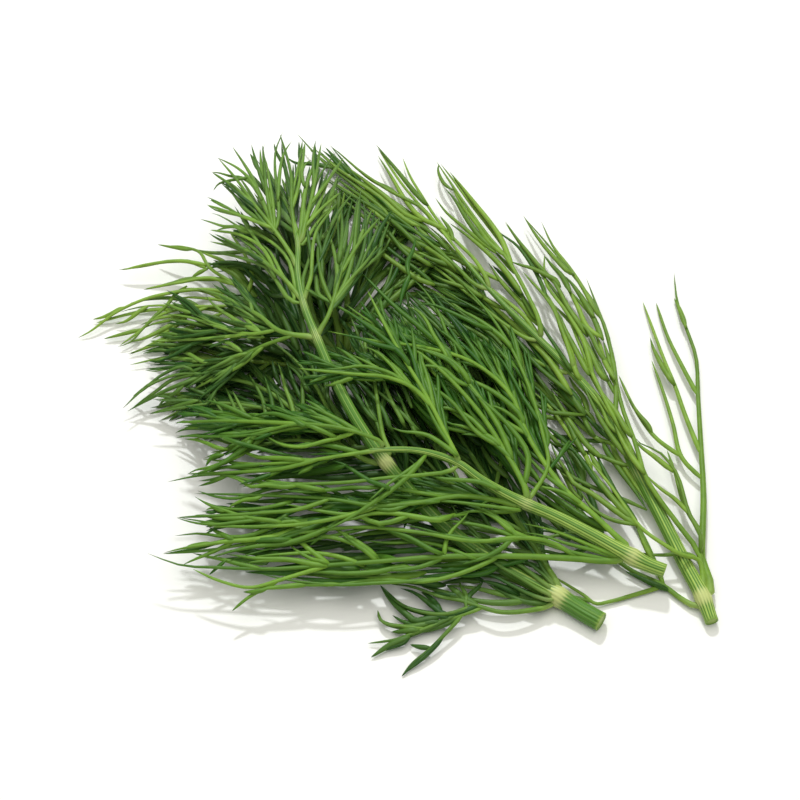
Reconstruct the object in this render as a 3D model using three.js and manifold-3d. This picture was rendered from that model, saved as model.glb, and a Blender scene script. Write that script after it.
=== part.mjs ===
// A loose bunch of fresh dill: four cut fronds lying on a flat surface in a low heap, with the cut
// ends together at the front right and the feathery tips fanned out to the back and the left.
// Each frond is a stalk with swollen joints, and the leaves that grow from its joints.
// Units are millimetres, +Z is up, and the surface under the bunch is z = 0.

import * as THREE from 'three';
import { mergeVertices } from 'three/addons/utils/BufferGeometryUtils.js';
import Module from 'manifold-3d';

// The heap is laid out on an oblique drawing, as someone standing over the surface sees it.
// A point is [across, up the drawing, height above the surface], and `placed` finds it in space.
const EYE_DISTANCE = 490;
const EYE_ELEVATION = THREE.MathUtils.degToRad(55);
// The middle of the bunch's footprint, measured from the drawing's origin.
const FOOTPRINT_MIDDLE = new THREE.Vector3(-1.3, 3.7, 0);

const GAP = 0.3; // clear space kept between two pieces that meet
const JOINT_SWELL = 1.22; // a joint's radius over the stalk's
const JOINT_REACH = 2.4; // how far a joint's swelling runs along the stalk, each way
const STALK_SIDES = 8;
const AXIS_TIP = 0.24; // radius where a leaf's axis ends
const AXIS_SIDES = 4;
const TWIG_RADIUS = 0.42;
const TWIG_TIP = 0.2;
const TWIG_SIDES = 3;
const THREAD_RADIUS = 0.3;
const THREAD_SIDES = 3;
const THREAD_SPACING = 16; // one thread for each such length of an axis or a twig
const THREAD_LENGTH = 11;
const THREAD_ANGLE = THREE.MathUtils.degToRad(24);

const STALK_COLOUR = 0x7fa33f;
const FRESH_LEAF = 0x4f8f2e;
const BRIGHT_LEAF = 0x6ba536;
const DEEP_LEAF = 0x3a7230;

// A stalk's points run from its cut end; `radii` are [share of its length, radius], and `joints` are
// the numbers of its points that are joints, counted from 0. Each leaf starts beside a joint. Its
// `axis` runs out to its tip, and its `twigs` are branches that leave the axis or an earlier twig at
// one of its points. A leaf with wide branches is in two or three pieces, one for each spray.
const FRONDS = {
  right_frond: {
    stalk: [
      [62.4, -44.4, 1.3], [60.8, -40, 1.75], [57.4, -33.6, 2.1], [52.5, -24, 2.9], [47.6, -14.5, 3.7],
      [42.3, -4, 4.7], [34.5, 5.5, 5.6], [28, 12, 6.2], [18, 22, 6.6], [12, 29, 6.6],
    ],
    radii: [[0, 1.25], [0.1, 1.4], [0.4, 1.2], [0.7, 0.75], [1, 0.35]],
    joints: [1, 4, 6, 7, 8],
    leafColour: FRESH_LEAF,
    leaves: {
      right_leaf_1_outer: {
        radius: 0.75,
        axis: [
          [61.9, -39, 2], [62, -36.5, 2.3], [60.4, -31.5, 2.6], [60.5, -27, 2.8], [60.7, -20, 3],
          [60.6, -16, 3], [60.3, -11, 3], [59.6, 0.8, 3], [59.1, 9, 2.8], [57.2, 14.5, 2.4],
          [55.4, 20, 1.6], [54.8, 25.6, 0.3],
        ],
        twigs: [
          [[60.5, -27, 2.8], [57, -21.3, 3.4], [54.8, -14, 3.6], [53.4, -10, 3.4]],
          [[60.6, -16, 3], [56.3, -12.3, 3], [54.2, -2, 3], [52.4, 3, 2.4], [50.5, 7.9, 1.6]],
          [[56.3, -12.3, 3], [51, -8, 3.2], [46.8, -1.5, 2.8], [43.7, 5, 2]],
          [[60.3, -11, 3], [56, -0.5, 3], [53.8, 5, 2.8], [51.8, 11.5, 2.4], [48.7, 19.5, 1]],
          [[59.6, 0.8, 3], [57.5, 4, 3], [55, 9.5, 2.6], [51.4, 19.4, 1]],
        ],
      },
      right_leaf_1_inner: {
        radius: 0.6,
        axis: [
          [59.7, -30.4, 3], [56.5, -26, 4.2], [52, -20, 6], [49.2, -15.6, 6.8], [47.2, -9, 7.4],
          [44.3, -1, 7.8], [42.8, 6, 7.8], [41.5, 13, 7], [39, 19, 6], [35, 24.5, 5], [30.5, 30, 3.8],
          [24.7, 36.7, 2.4],
        ],
        twigs: [],
      },
      right_leaf_1_low: {
        radius: 0.55,
        axis: [
          [59.2, -31.6, 3.6], [57, -31.2, 5], [53, -29, 6], [48, -25.3, 6.2], [45.5, -22, 6],
          [42, -17, 5.6], [37, -11, 5],
        ],
        twigs: [],
      },
      left_leaf_1: {
        radius: 0.6,
        axis: [
          [59.6, -41.3, 1.2], [57, -40.2, 0.9], [52.8, -37.2, 0.8], [46.5, -34.2, 0.9], [42, -31, 1.1],
          [36, -25, 1.3], [30, -19, 1.3], [24, -12, 1.2],
        ],
        twigs: [
          [
            [52.8, -37.2, 0.8], [46, -39.2, 0.7], [42, -40.3, 0.7], [39, -40.7, 0.8], [37, -39.2, 0.9],
            [34, -37.3, 1.1], [30, -34.9, 1.4],
          ],
          [[52.8, -37.2, 0.8], [51, -32.5, 1], [48.2, -26.5, 1.1], [43, -18.5, 1.1], [40, -14, 1]],
        ],
      },
      right_leaf_2: {
        radius: 0.5,
        axis: [
          [45.6, -8.6, 5.6], [42, -2, 6.6], [38.6, 5, 6.6], [35.6, 12, 5.8], [32.5, 19.5, 4.8],
          [27, 26.8, 3.6], [20.9, 35.6, 2],
        ],
        twigs: [[[38.6, 5, 6.6], [36.6, 12, 7], [33, 18, 6.2], [29, 24, 5], [28.9, 29.2, 3.8]]],
      },
      left_leaf_2: {
        radius: 0.55,
        axis: [
          [43.2, -9, 3], [40, -8, 2.4], [35, -4, 2], [29, 1.5, 1.8], [22, 8, 1.6], [13, 17, 1.2],
        ],
        twigs: [[[35, -4, 2], [27, -3, 1.8], [19, 0, 1.6], [10, 4, 1.2]]],
      },
      right_leaf_3: {
        radius: 0.5,
        axis: [
          [34.6, 7, 6.8], [33.4, 10, 7.4], [31.4, 14.5, 7.4], [28.6, 20, 6.4], [24.6, 25.5, 5.2],
          [22.8, 32.4, 3.8],
        ],
        twigs: [],
      },
      left_leaf_3: {
        radius: 0.5,
        axis: [[32.6, 5.6, 5], [28, 7.4, 4], [22, 11, 3.4], [15, 16, 3], [8, 21, 2.4], [0, 25, 1.8]],
        twigs: [],
      },
      right_leaf_4: {
        radius: 0.5,
        axis: [
          [28.2, 13.4, 7.2], [27.6, 16.5, 8], [26, 20, 7.8], [21, 28.8, 6.4], [17.5, 33, 5.4],
          [13.5, 38.5, 4.2], [7.2, 47.8, 2.2],
        ],
        twigs: [[[21, 28.8, 6.4], [18.5, 29.5, 6.4], [14, 34, 5], [10, 40, 3.6], [9.7, 45.7, 2.6]]],
      },
      left_leaf_4: {
        radius: 0.45,
        axis: [[26.6, 12, 6], [21.5, 14.8, 5.4], [14.5, 20.5, 4.6], [7, 26.5, 3.6], [0, 31, 2.6]],
        twigs: [],
      },
      right_leaf_5: {
        radius: 0.45,
        axis: [
          [17.4, 24, 7.4], [16, 28, 7.6], [12.5, 33.6, 6.6], [8.5, 38.4, 5.2], [4.5, 43, 3.8],
          [0.5, 48.3, 2],
        ],
        twigs: [],
      },
      left_leaf_5: {
        radius: 0.45,
        axis: [
          [16, 22.6, 6.4], [11, 27, 6], [4, 33, 5], [-4, 39.5, 3.6], [-9, 45, 2.2], [-14, 51, 0.5],
        ],
        twigs: [[[-4, 39.5, 3.6], [-11, 44.5, 2.8], [-20, 52.5, 1.6]]],
      },
      tip_leaf: {
        radius: 0.4,
        axis: [[11.4, 30, 6.6], [7, 35.6, 5.8], [1, 42.4, 4.2], [-4.5, 50.4, 2]],
        twigs: [],
      },
    },
  },
  middle_frond: {
    stalk: [
      [53, -34.2, 5], [49.5, -32.9, 5.4], [46.3, -31.3, 5.9], [38, -26.8, 7.2], [30, -22.8, 8.8],
      [25.2, -20.8, 9.8], [16, -15.8, 12], [12, -12.9, 13], [5, -10.4, 14.4], [-4, -10, 15.4],
      [-7, -10.3, 15.4],
    ],
    radii: [[0, 1.25], [0.12, 1.5], [0.48, 1.25], [0.72, 0.9], [1, 0.5]],
    joints: [2, 5, 7, 9],
    leafColour: BRIGHT_LEAF,
    leaves: {
      right_leaf_1_long: {
        radius: 0.65,
        axis: [
          [45.4, -29.3, 6.7], [43, -27, 7.2], [38, -22.3, 8], [33.5, -18.5, 8.4], [29.5, -13.5, 9],
          [25.5, -7, 9.6], [22.5, 0.5, 10.4], [15, 7.3, 12], [5, 10.5, 14.4], [-5, 11.8, 17.4],
          [-15, 13.9, 19.4],
        ],
        twigs: [[[25.5, -7, 9.6], [19, -3, 10], [12, 2, 10.4], [4, 8, 10.6], [-4, 15, 10.8]]],
      },
      right_leaf_1_short: {
        radius: 0.45,
        axis: [
          [29.7, -12.5, 9.2], [30, -6, 9.4], [28, 2, 9.8], [24, 9, 9.8], [18, 17, 9.6], [12, 24, 9],
        ],
        twigs: [],
      },
      left_leaf_1: {
        radius: 0.75,
        axis: [
          [44.6, -31.9, 5.2], [42, -32.2, 5.1], [36, -31.8, 5.6], [20, -31.2, 7], [9, -31.3, 7.6],
          [-4.5, -32.3, 7.8], [-14, -33, 7.4], [-26, -33.8, 6.6], [-36, -33.5, 6], [-44, -33, 5.4],
          [-50.7, -30.6, 4.8],
        ],
        twigs: [
          [[-14, -33, 7.4], [-20, -34.8, 7], [-24, -36, 6.6], [-30, -37.5, 6], [-36, -36.2, 5.6],
            [-41.5, -33.8, 5.2]],
          [[-24, -36, 6.6], [-27.5, -37.8, 6], [-31, -40, 5.2], [-33.6, -42.2, 4.6]],
          [[20, -31.2, 7], [14, -34, 6.8], [5, -36.3, 6.4], [-4, -35.9, 6.2], [-16, -37, 6],
            [-22, -35.8, 6.4]],
          [[36, -31.8, 5.6], [29.5, -28.2, 7.4], [23.5, -27.5, 8.2], [16, -28.3, 8.8], [4, -26.5, 9.4],
            [-8, -25.4, 9.2], [-20, -26.6, 8.6], [-32, -28, 7.6], [-43.7, -29.9, 6.2]],
          [[-4.5, -32.3, 7.8], [-8, -29.4, 8.2], [-14, -27.4, 8], [-26, -28, 7.4], [-38, -30, 6.4],
            [-47.4, -30.8, 5.6]],
        ],
      },
      right_leaf_2: {
        radius: 0.6,
        axis: [
          [25.4, -19.1, 10.9], [23.5, -14.5, 11.4], [20.5, -9.5, 11.8], [17, -4, 12.4], [13, 1, 13.2],
          [7, 7, 14], [0, 12, 14.6], [-8, 17, 15.4], [-12, 20, 16],
        ],
        twigs: [[[20.5, -9.5, 11.8], [16, -7, 12.2], [10, 0, 12.8], [4, 4, 13.4], [-6, 9, 14]]],
      },
      left_leaf_2: {
        radius: 0.6,
        axis: [
          [23.4, -21, 9.6], [20, -20.2, 9.8], [12, -19.2, 10.8], [4, -20.5, 11.4], [-4, -21.2, 11.4],
          [-14, -19.8, 11], [-30, -19, 9.8], [-41.2, -18.7, 8.4],
        ],
        twigs: [
          [[-14, -19.8, 11], [-20, -21.8, 10.6], [-28, -22.6, 9.8], [-44.6, -23.5, 8]],
          [[-4, -21.2, 11.4], [-10, -23, 10.8], [-18, -24.6, 10.2], [-38.3, -25.4, 8.4]],
        ],
      },
      right_leaf_3: {
        radius: 0.5,
        axis: [
          [11.4, -11.4, 14.1], [9.5, -7.5, 15], [6.5, -1.5, 16], [4, 3, 16.8], [0, 9.5, 17.8],
          [-2.5, 14, 18.4], [-6.7, 22.3, 18.6],
        ],
        twigs: [[[6.5, -1.5, 16], [2.5, 2.5, 17], [-2, 4.4, 17.8], [-9.5, 5.2, 18.8], [-20.5, 6.3, 19]]],
      },
      left_leaf_3: {
        radius: 0.45,
        axis: [
          [10.6, -13.9, 13.2], [5, -14.9, 13.6], [-2, -15.5, 13.8], [-10, -16.4, 13.2], [-20, -16.8, 12.2],
          [-30, -17, 11], [-46.6, -16.4, 8.6],
        ],
        twigs: [],
      },
      right_leaf_4: {
        radius: 0.45,
        axis: [
          [-3.4, -8.6, 16.4], [-5, -7.8, 16.8], [-10, -6, 17.4], [-16, -5, 17], [-20, -4.8, 16.2],
          [-30, -7, 13.8], [-45, -7.2, 9.8],
        ],
        twigs: [[[-20, -4.8, 16.2], [-28, -4.4, 14.4], [-36, -4.2, 12.4], [-45, -4.5, 10]]],
      },
      tip_leaf: {
        radius: 0.45,
        axis: [
          [-7.6, -10.5, 15.4], [-11, -11, 15.2], [-16, -11.8, 14.4], [-22, -12.5, 13.4], [-28, -12.8, 12],
          [-39.5, -11.8, 9],
        ],
        twigs: [[[-16, -11.8, 14.4], [-24, -13.8, 12.8], [-32, -14.4, 11], [-42.6, -14.8, 8.8]]],
      },
    },
  },
  front_frond: {
    stalk: [
      [40.3, -44.4, 1.6], [36.5, -42.3, 1.8], [31.8, -39.4, 2.2], [20, -33, 3.4], [8, -24.6, 6],
      [3, -19.4, 8.4], [-3, -12.3, 12], [-7.5, -6, 13.6], [-12, 2, 15.4], [-16.6, 12.3, 17],
      [-19.3, 19.3, 17.6], [-20.5, 26, 17.6], [-20.4, 31, 17.2], [-20.9, 34, 17.1],
    ],
    radii: [[0, 1.5], [0.1, 1.6], [0.5, 1.3], [0.78, 1], [1, 0.6]],
    joints: [2, 6, 9, 10, 12],
    leafColour: DEEP_LEAF,
    leaves: {
      left_leaf_1: {
        radius: 0.6,
        axis: [
          [30.2, -40.8, 1.2], [25, -42.3, 0.9], [20, -42.3, 0.8], [15, -41.5, 0.8], [10, -39.3, 0.9],
          [4, -37.5, 0.9],
        ],
        twigs: [
          [[20, -42.3, 0.8], [12, -43.3, 0.7], [5, -45.7, 0.6], [-1, -47.9, 0.5], [-6.5, -48.7, 0.3]],
          [[12, -43.3, 0.7], [9.5, -46.5, 0.6], [6, -50, 0.5], [0.3, -55.3, 0.2]],
          [[15, -41.5, 0.8], [9, -42.8, 1], [4, -42.3, 1.2], [0.5, -41, 1.2], [-4, -37, 1]],
          [[5, -45.7, 0.6], [1, -45.3, 0.8], [-3.8, -44, 0.8], [-4.5, -42, 0.8]],
        ],
      },
      right_leaf_1: {
        radius: 0.6,
        axis: [
          [31.8, -37.6, 3], [29.5, -33.5, 3.2], [25, -26.5, 3.4], [19, -18, 3.6], [13, -9, 3.8],
          [8, 0, 3.8], [2, 8, 3.6], [-3, 16, 3.4],
        ],
        twigs: [
          [[25, -26.5, 3.4], [16, -21.5, 3.6], [7, -14, 4], [0, -6, 4.2], [-6, 0, 4.2]],
          [[19, -18, 3.6], [20.5, -9, 3.8], [18, 0, 3.8], [13, 10, 3.6], [8, 17, 3.2]],
        ],
      },
      left_leaf_2: {
        radius: 0.6,
        axis: [
          [-4.4, -12.6, 10.8], [-12, -9, 10], [-20, -3, 9], [-28, 2.6, 8], [-36, 4.6, 7], [-44, 5.2, 6],
          [-50, 3, 5], [-55.3, -1.5, 4],
        ],
        twigs: [
          [[-20, -3, 9], [-28, -1.5, 8], [-36, -0.6, 7], [-44, -1.6, 6], [-50, -2.8, 5]],
          [[-12, -9, 10], [-22, -8, 9], [-30, -9.4, 8], [-38, -10.5, 7]],
        ],
      },
      right_leaf_2: {
        radius: 0.45,
        axis: [
          [-2.2, -10.9, 12.8], [-3.4, -7, 13.4], [-4.4, -1, 14], [-5.4, 5, 14.2], [-8, 12, 14.2],
          [-10, 17, 14],
        ],
        twigs: [],
      },
      left_leaf_3: {
        radius: 0.6,
        axis: [
          [-18.4, 12.7, 17], [-21, 13, 17.4], [-24.5, 14, 17.8], [-28, 16.8, 17.8], [-32, 19, 17.2],
          [-36, 21, 16.2], [-40.8, 22.3, 14.6],
        ],
        twigs: [
          [[-24.5, 14, 17.8], [-30, 13.2, 17.4], [-36, 14.5, 16], [-42, 16.5, 14.4], [-46.7, 17.2, 13]],
          [[-21, 13, 17.4], [-27, 11, 17], [-33, 8.2, 16], [-38, 7.3, 14.8], [-51, 5.9, 11.4]],
          [[-27, 11, 17], [-32, 6.8, 15.8], [-37, 4.4, 14.4], [-41.5, 2, 13.2]],
          [[-30, 13.2, 17.4], [-37, 12.4, 15.8], [-43, 12, 14.4], [-50, 11.8, 12.4]],
        ],
      },
      right_leaf_3: {
        radius: 0.5,
        axis: [
          [-15.9, 14.1, 17.9], [-14.5, 16.5, 18.4], [-13.5, 19.3, 18.6], [-12, 25, 18.2], [-10, 31, 17.2],
          [-8.5, 40.5, 14.8],
        ],
        twigs: [
          [[-13.5, 19.3, 18.6], [-15.5, 24, 18.4], [-16.4, 29, 17.6], [-15.5, 35.2, 16.2]],
          [[-13.5, 19.3, 18.6], [-10, 24, 18.2], [-6.5, 28, 17.4], [-4.5, 31, 16.4]],
          [[-12, 25, 18.2], [-7.5, 32.4, 16.6], [-4, 36.5, 15]],
        ],
      },
      left_leaf_4: {
        radius: 0.45,
        axis: [
          [-20.6, 18.4, 17.4], [-22.5, 22, 17.6], [-25, 26, 17.2], [-30, 29.6, 16], [-38, 31.7, 14],
        ],
        twigs: [[[-25, 26, 17.2], [-27.6, 30.4, 16.6], [-32, 33, 15.6], [-38, 34, 14.2]]],
      },
      right_leaf_4: {
        radius: 0.45,
        axis: [
          [-18.4, 20.2, 18.2], [-17.6, 24, 18.6], [-17.6, 28, 18.4], [-17, 33, 17.6], [-13, 39, 16],
        ],
        twigs: [],
      },
      left_leaf_5: {
        radius: 0.5,
        axis: [
          [-21.6, 31.2, 16.8], [-24, 32.2, 17], [-25.3, 34.3, 17.2], [-29, 39, 16.6], [-33, 44.5, 15.4],
          [-36.3, 48.3, 14.2],
        ],
        twigs: [
          [[-25.3, 34.3, 17.2], [-31, 36.5, 16.4], [-38.5, 39, 14.6]],
          [[-25.3, 34.3, 17.2], [-26.4, 40, 16.8], [-27.5, 51, 14.6]],
          [[-29, 39, 16.6], [-33, 42.4, 15.8], [-37.5, 45.5, 14.6]],
        ],
      },
      right_leaf_5: {
        radius: 0.5,
        axis: [
          [-19.6, 32.4, 17.6], [-19.2, 34.4, 17.8], [-18, 39, 17.2], [-16.8, 45, 16],
          [-15.8, 51.2, 14.4],
        ],
        twigs: [
          [[-19.2, 34.4, 17.8], [-16, 38, 17.2], [-12, 41.5, 15.8]],
          [[-18, 39, 17.2], [-15, 43, 16.4], [-11.3, 48.5, 14.6]],
        ],
      },
      tip_leaf: {
        radius: 0.45,
        axis: [[-21.1, 34.6, 17], [-21.6, 38, 16.8], [-21.8, 45, 15.6], [-24, 53.2, 13.8]],
        twigs: [[[-21.6, 38, 16.8], [-20, 44, 16], [-19, 51.5, 14.4]]],
      },
    },
  },
  back_frond: {
    stalk: [[2, 3, 1.3], [-6, 6.5, 1.6], [-12, 9, 2], [-22, 14.5, 2.8], [-30, 19, 3.6], [-35, 21.6, 4]],
    radii: [[0, 1.25], [0.3, 1.3], [1, 0.6]],
    joints: [2, 4],
    leafColour: FRESH_LEAF,
    leaves: {
      right_leaf_1: {
        radius: 0.5,
        axis: [
          [-9.6, 9.6, 2.4], [-12, 14, 2.8], [-16, 22, 3.4], [-21, 29, 4], [-27, 36, 4.4], [-31, 43, 4.2],
          [-33.3, 50.3, 3.2],
        ],
        twigs: [
          [[-16, 22, 3.4], [-15, 29, 4], [-12, 37, 4.2], [-9, 46.5, 3]],
          [[-21, 29, 4], [-30, 33.5, 4.4], [-38, 37.5, 4]],
          [[-21, 29, 4], [-22, 36, 4.2], [-21, 44, 3.8], [-20, 50, 3]],
        ],
      },
      left_leaf_1: {
        radius: 0.55,
        axis: [
          [-11.6, 6.8, 1.4], [-16, 6.6, 1.4], [-26, 7.4, 1.6], [-36, 8.2, 1.8], [-46, 8.6, 1.6],
          [-54.2, 7, 0.9],
        ],
        twigs: [
          [[-26, 7.4, 1.8], [-34, 3, 1.8], [-42, 0, 1.6], [-50, -1.6, 1.2]],
          [[-16, 6.6, 1.4], [-22, 0, 1.6], [-30, -5, 1.6], [-42, -8, 1.2]],
        ],
      },
      right_leaf_2: {
        radius: 0.5,
        axis: [
          [-30.6, 20.9, 4.6], [-33, 23, 5], [-38.5, 27, 5.6], [-40, 29.5, 5.6], [-43, 30.5, 5.2],
          [-47.5, 30.8, 4.2],
        ],
        twigs: [
          [[-38.5, 27, 5.6], [-44, 27.8, 5], [-50, 27.2, 4], [-55.5, 26, 2.6]],
          [[-33, 23, 5], [-38, 24.4, 5.2], [-44, 23.5, 4.8], [-51, 22.2, 3.8]],
        ],
      },
      left_leaf_2: {
        radius: 0.5,
        axis: [
          [-31.6, 17.4, 2.8], [-38, 18.2, 2.8], [-44, 18.2, 2.6], [-49, 16.4, 2.2], [-52, 13.8, 1.8],
          [-56.2, 10.8, 1.2],
        ],
        twigs: [[[-44, 18.2, 2.6], [-50, 18, 2], [-55, 17, 1.4], [-60.8, 15.4, 0.6]]],
      },
      tip_leaf: {
        radius: 0.5,
        axis: [
          [-36.2, 21.8, 4.1], [-42, 22, 4.2], [-46, 21.4, 4], [-50, 20.5, 3.6], [-57, 17.4, 2.4],
          [-62.5, 13.4, 1], [-64.5, 12.4, 0.4],
        ],
        twigs: [],
      },
    },
  },
};

const wasm = await Module();
wasm.setup();

const UP = new THREE.Vector3(0, 0, 1);
const TO_EYE = new THREE.Vector3(0, -Math.cos(EYE_ELEVATION), Math.sin(EYE_ELEVATION));
const EYE = TO_EYE.clone().multiplyScalar(EYE_DISTANCE);
const DRAWING_UP = new THREE.Vector3(0, Math.sin(EYE_ELEVATION), Math.cos(EYE_ELEVATION));

const vectors = (points) => points.map((point) => new THREE.Vector3(...point));

// Follows the eye's line of sight through a drawn point to the point's height above the surface.
function placed(drawn) {
  const onDrawing = new THREE.Vector3(drawn.x, 0, 0).addScaledVector(DRAWING_UP, drawn.y);
  const share = (EYE.z - drawn.z) / (EYE.z - onDrawing.z);
  return EYE.clone().lerp(onDrawing, share).sub(FOOTPRINT_MIDDLE);
}

// The straight stretches from each drawn point to the next, as one path.
function pathThrough(drawn) {
  const path = new THREE.CurvePath();
  drawn.slice(1).forEach((point, i) => path.add(new THREE.LineCurve3(drawn[i], point)));
  return path;
}

// A limb is a row of rings, one at each drawn point. `radiusAt` takes a ring's share of the length
// and the ring's number.
function limb(drawn, radiusAt, sides) {
  const lengths = pathThrough(drawn).getCurveLengths();
  const shares = [0, ...lengths.map((length) => length / lengths.at(-1))];
  return { drawn, sides, radii: shares.map(radiusAt) };
}

const tapering = (from, to) => (share) => THREE.MathUtils.lerp(from, to, share);

// A limb's solid: a turned body with one unit of height for each ring, bent so that the rings lie
// in their places.
function limbSolid({ drawn, sides, radii }, extra) {
  const last = radii.length - 1;
  const profile = radii.map((radius, ring) => new THREE.Vector2(radius + extra, ring));
  profile.unshift(new THREE.Vector2(0, 0));
  profile.push(new THREE.Vector2(0, last));
  const turned = new THREE.LatheGeometry(profile, sides);
  const curve = new THREE.CatmullRomCurve3(drawn.map(placed), false, 'centripetal');
  const rings = radii.map((_, ring) => {
    const along = curve.getTangent(ring / last);
    const side = new THREE.Vector3().crossVectors(along, UP).normalize();
    return { middle: curve.getPoint(ring / last), side, lift: side.clone().cross(along) };
  });
  const position = turned.getAttribute('position');
  for (let i = 0; i < position.count; i += 1) {
    const { middle, side, lift } = rings[Math.round(position.getY(i))];
    const bent = middle.clone();
    bent.addScaledVector(side, position.getX(i)).addScaledVector(lift, position.getZ(i));
    position.setXYZ(i, bent.x, bent.y, bent.z);
  }
  return solidFrom(turned);
}

// A closed geometry as a solid that can be joined and cut.
function solidFrom(geometry) {
  geometry.deleteAttribute('normal');
  geometry.deleteAttribute('uv');
  const merged = mergeVertices(geometry, 1e-4);
  return new wasm.Manifold(new wasm.Mesh({
    numProp: 3,
    vertProperties: merged.getAttribute('position').array,
    triVerts: new Uint32Array(merged.index.array),
  }));
}

// Plain threads that leave a limb by turns to its left and right.
function threadsAlong({ drawn }) {
  const path = pathThrough(drawn);
  const count = Math.floor(path.getLength() / THREAD_SPACING);
  return Array.from({ length: count }, (_, i) => {
    const share = (i + 0.7) / (count + 0.4);
    const turn = (i % 2 ? 1 : -1) * THREAD_ANGLE;
    const reach = THREAD_LENGTH * (1 - 0.3 * share);
    const root = path.getPointAt(share);
    const tip = path.getTangentAt(share).applyAxisAngle(UP, turn).multiplyScalar(reach).add(root);
    return limb([root, tip], tapering(THREAD_RADIUS, 0), THREAD_SIDES);
  });
}

// Reads a radius off a list of [share, radius].
function radiusFrom(radii, share) {
  const next = Math.max(1, radii.findIndex(([at]) => at >= share));
  const [[fromShare, from], [toShare, to]] = [radii[next - 1], radii[next]];
  return THREE.MathUtils.mapLinear(share, fromShare, toShare, from, to);
}

// A stalk's limb has two more rings at each joint, where the swelling starts and ends.
function stalkLimb({ stalk, radii, joints }) {
  const points = vectors(stalk);
  const beside = (point, other) => other.clone().sub(point).setLength(JOINT_REACH).add(point);
  const rings = points.flatMap((point, i) => {
    if (!joints.includes(i)) return [{ point, swell: 1 }];
    const before = { point: beside(point, points[i - 1]), swell: 1 };
    const after = { point: beside(point, points[i + 1]), swell: 1 };
    return [before, { point, swell: JOINT_SWELL }, after];
  });
  const radiusAt = (share, ring) => radiusFrom(radii, share) * rings[ring].swell;
  return limb(rings.map(({ point }) => point), radiusAt, STALK_SIDES);
}

function leafLimbs({ radius, axis, twigs }) {
  const main = limb(vectors(axis), tapering(radius, AXIS_TIP), AXIS_SIDES);
  const branches = twigs.map((twig) => limb(vectors(twig), tapering(TWIG_RADIUS, TWIG_TIP), TWIG_SIDES));
  const threads = [main, ...branches].flatMap(threadsAlong);
  return [main, ...branches, ...threads];
}

const joined = (limbs, extra) => limbs.map((one) => limbSolid(one, extra)).reduce((a, b) => a.add(b));
const largest = (solid) => solid.decompose().reduce((a, b) => (b.volume() > a.volume() ? b : a));

// Cuts a new solid clear of everything that is already laid down, and keeps the biggest body left.
function cutClear(solid, laid) {
  const cut = laid.reduce((rest, { clearance }) => rest.subtract(clearance), solid);
  return largest(cut);
}

function meshOf(name, solid, colour) {
  const { numVert, vertProperties, triVerts } = solid.getMesh();
  const geometry = new THREE.BufferGeometry();
  geometry.setAttribute('position', new THREE.BufferAttribute(vertProperties.slice(0, numVert * 3), 3));
  geometry.setIndex(new THREE.BufferAttribute(triVerts, 1));
  geometry.computeVertexNormals();
  const material = new THREE.MeshStandardMaterial({ color: colour, roughness: 0.5, metalness: 0 });
  material.flatShading = true;
  const mesh = new THREE.Mesh(geometry, material);
  mesh.name = name;
  return mesh;
}

// Lays down every stalk first, and then the leaves round them.
function dillBunch() {
  const group = new THREE.Group();
  const laid = [];
  const lay = (name, limbs, colour) => {
    const whole = joined(limbs, 0);
    const solid = cutClear(whole, laid);
    laid.push({ clearance: joined(limbs, GAP) });
    group.add(meshOf(name, solid, colour));
  };
  for (const [name, frond] of Object.entries(FRONDS)) {
    lay(`${name}_stalk`, [stalkLimb(frond)], STALK_COLOUR);
  }
  for (const [name, { leaves, leafColour }] of Object.entries(FRONDS)) {
    for (const [leaf, form] of Object.entries(leaves)) lay(`${name}_${leaf}`, leafLimbs(form), leafColour);
  }
  return group;
}

export default dillBunch();
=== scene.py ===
import math

import bpy
import numpy as np
from bpy.props import FloatProperty, FloatVectorProperty, IntProperty, PointerProperty
from bpy.types import Operator, Panel, PropertyGroup
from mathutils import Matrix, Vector


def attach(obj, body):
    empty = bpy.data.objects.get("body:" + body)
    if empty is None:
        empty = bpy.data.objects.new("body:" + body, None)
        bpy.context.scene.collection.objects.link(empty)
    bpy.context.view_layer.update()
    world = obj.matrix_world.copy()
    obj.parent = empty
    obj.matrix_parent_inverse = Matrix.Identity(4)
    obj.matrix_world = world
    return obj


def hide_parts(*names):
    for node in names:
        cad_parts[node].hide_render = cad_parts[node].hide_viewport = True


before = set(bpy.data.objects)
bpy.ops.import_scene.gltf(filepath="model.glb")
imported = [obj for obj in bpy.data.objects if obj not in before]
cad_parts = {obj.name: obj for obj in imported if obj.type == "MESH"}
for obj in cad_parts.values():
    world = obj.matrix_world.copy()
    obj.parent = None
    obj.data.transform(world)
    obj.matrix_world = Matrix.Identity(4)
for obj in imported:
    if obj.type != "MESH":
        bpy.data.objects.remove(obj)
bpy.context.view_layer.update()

bl_info = {
    "name": "Dill Bunch",
    "version": (1, 0, 0),
    "blender": (4, 5, 0),
    "location": "View3D > Sidebar > Dill",
    "description": "Grows the ribbed stalks and thread-fine leaves of a loose bunch of dill",
    "category": "Add Mesh",
}

UV_MAP = "OFBake"
GROWTH = "growth"  # the attribute that carries the values of `growth_of`
MM = 0.001
TURN = 2 * math.pi
UP = np.array([0, 0, 1.0])

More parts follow.
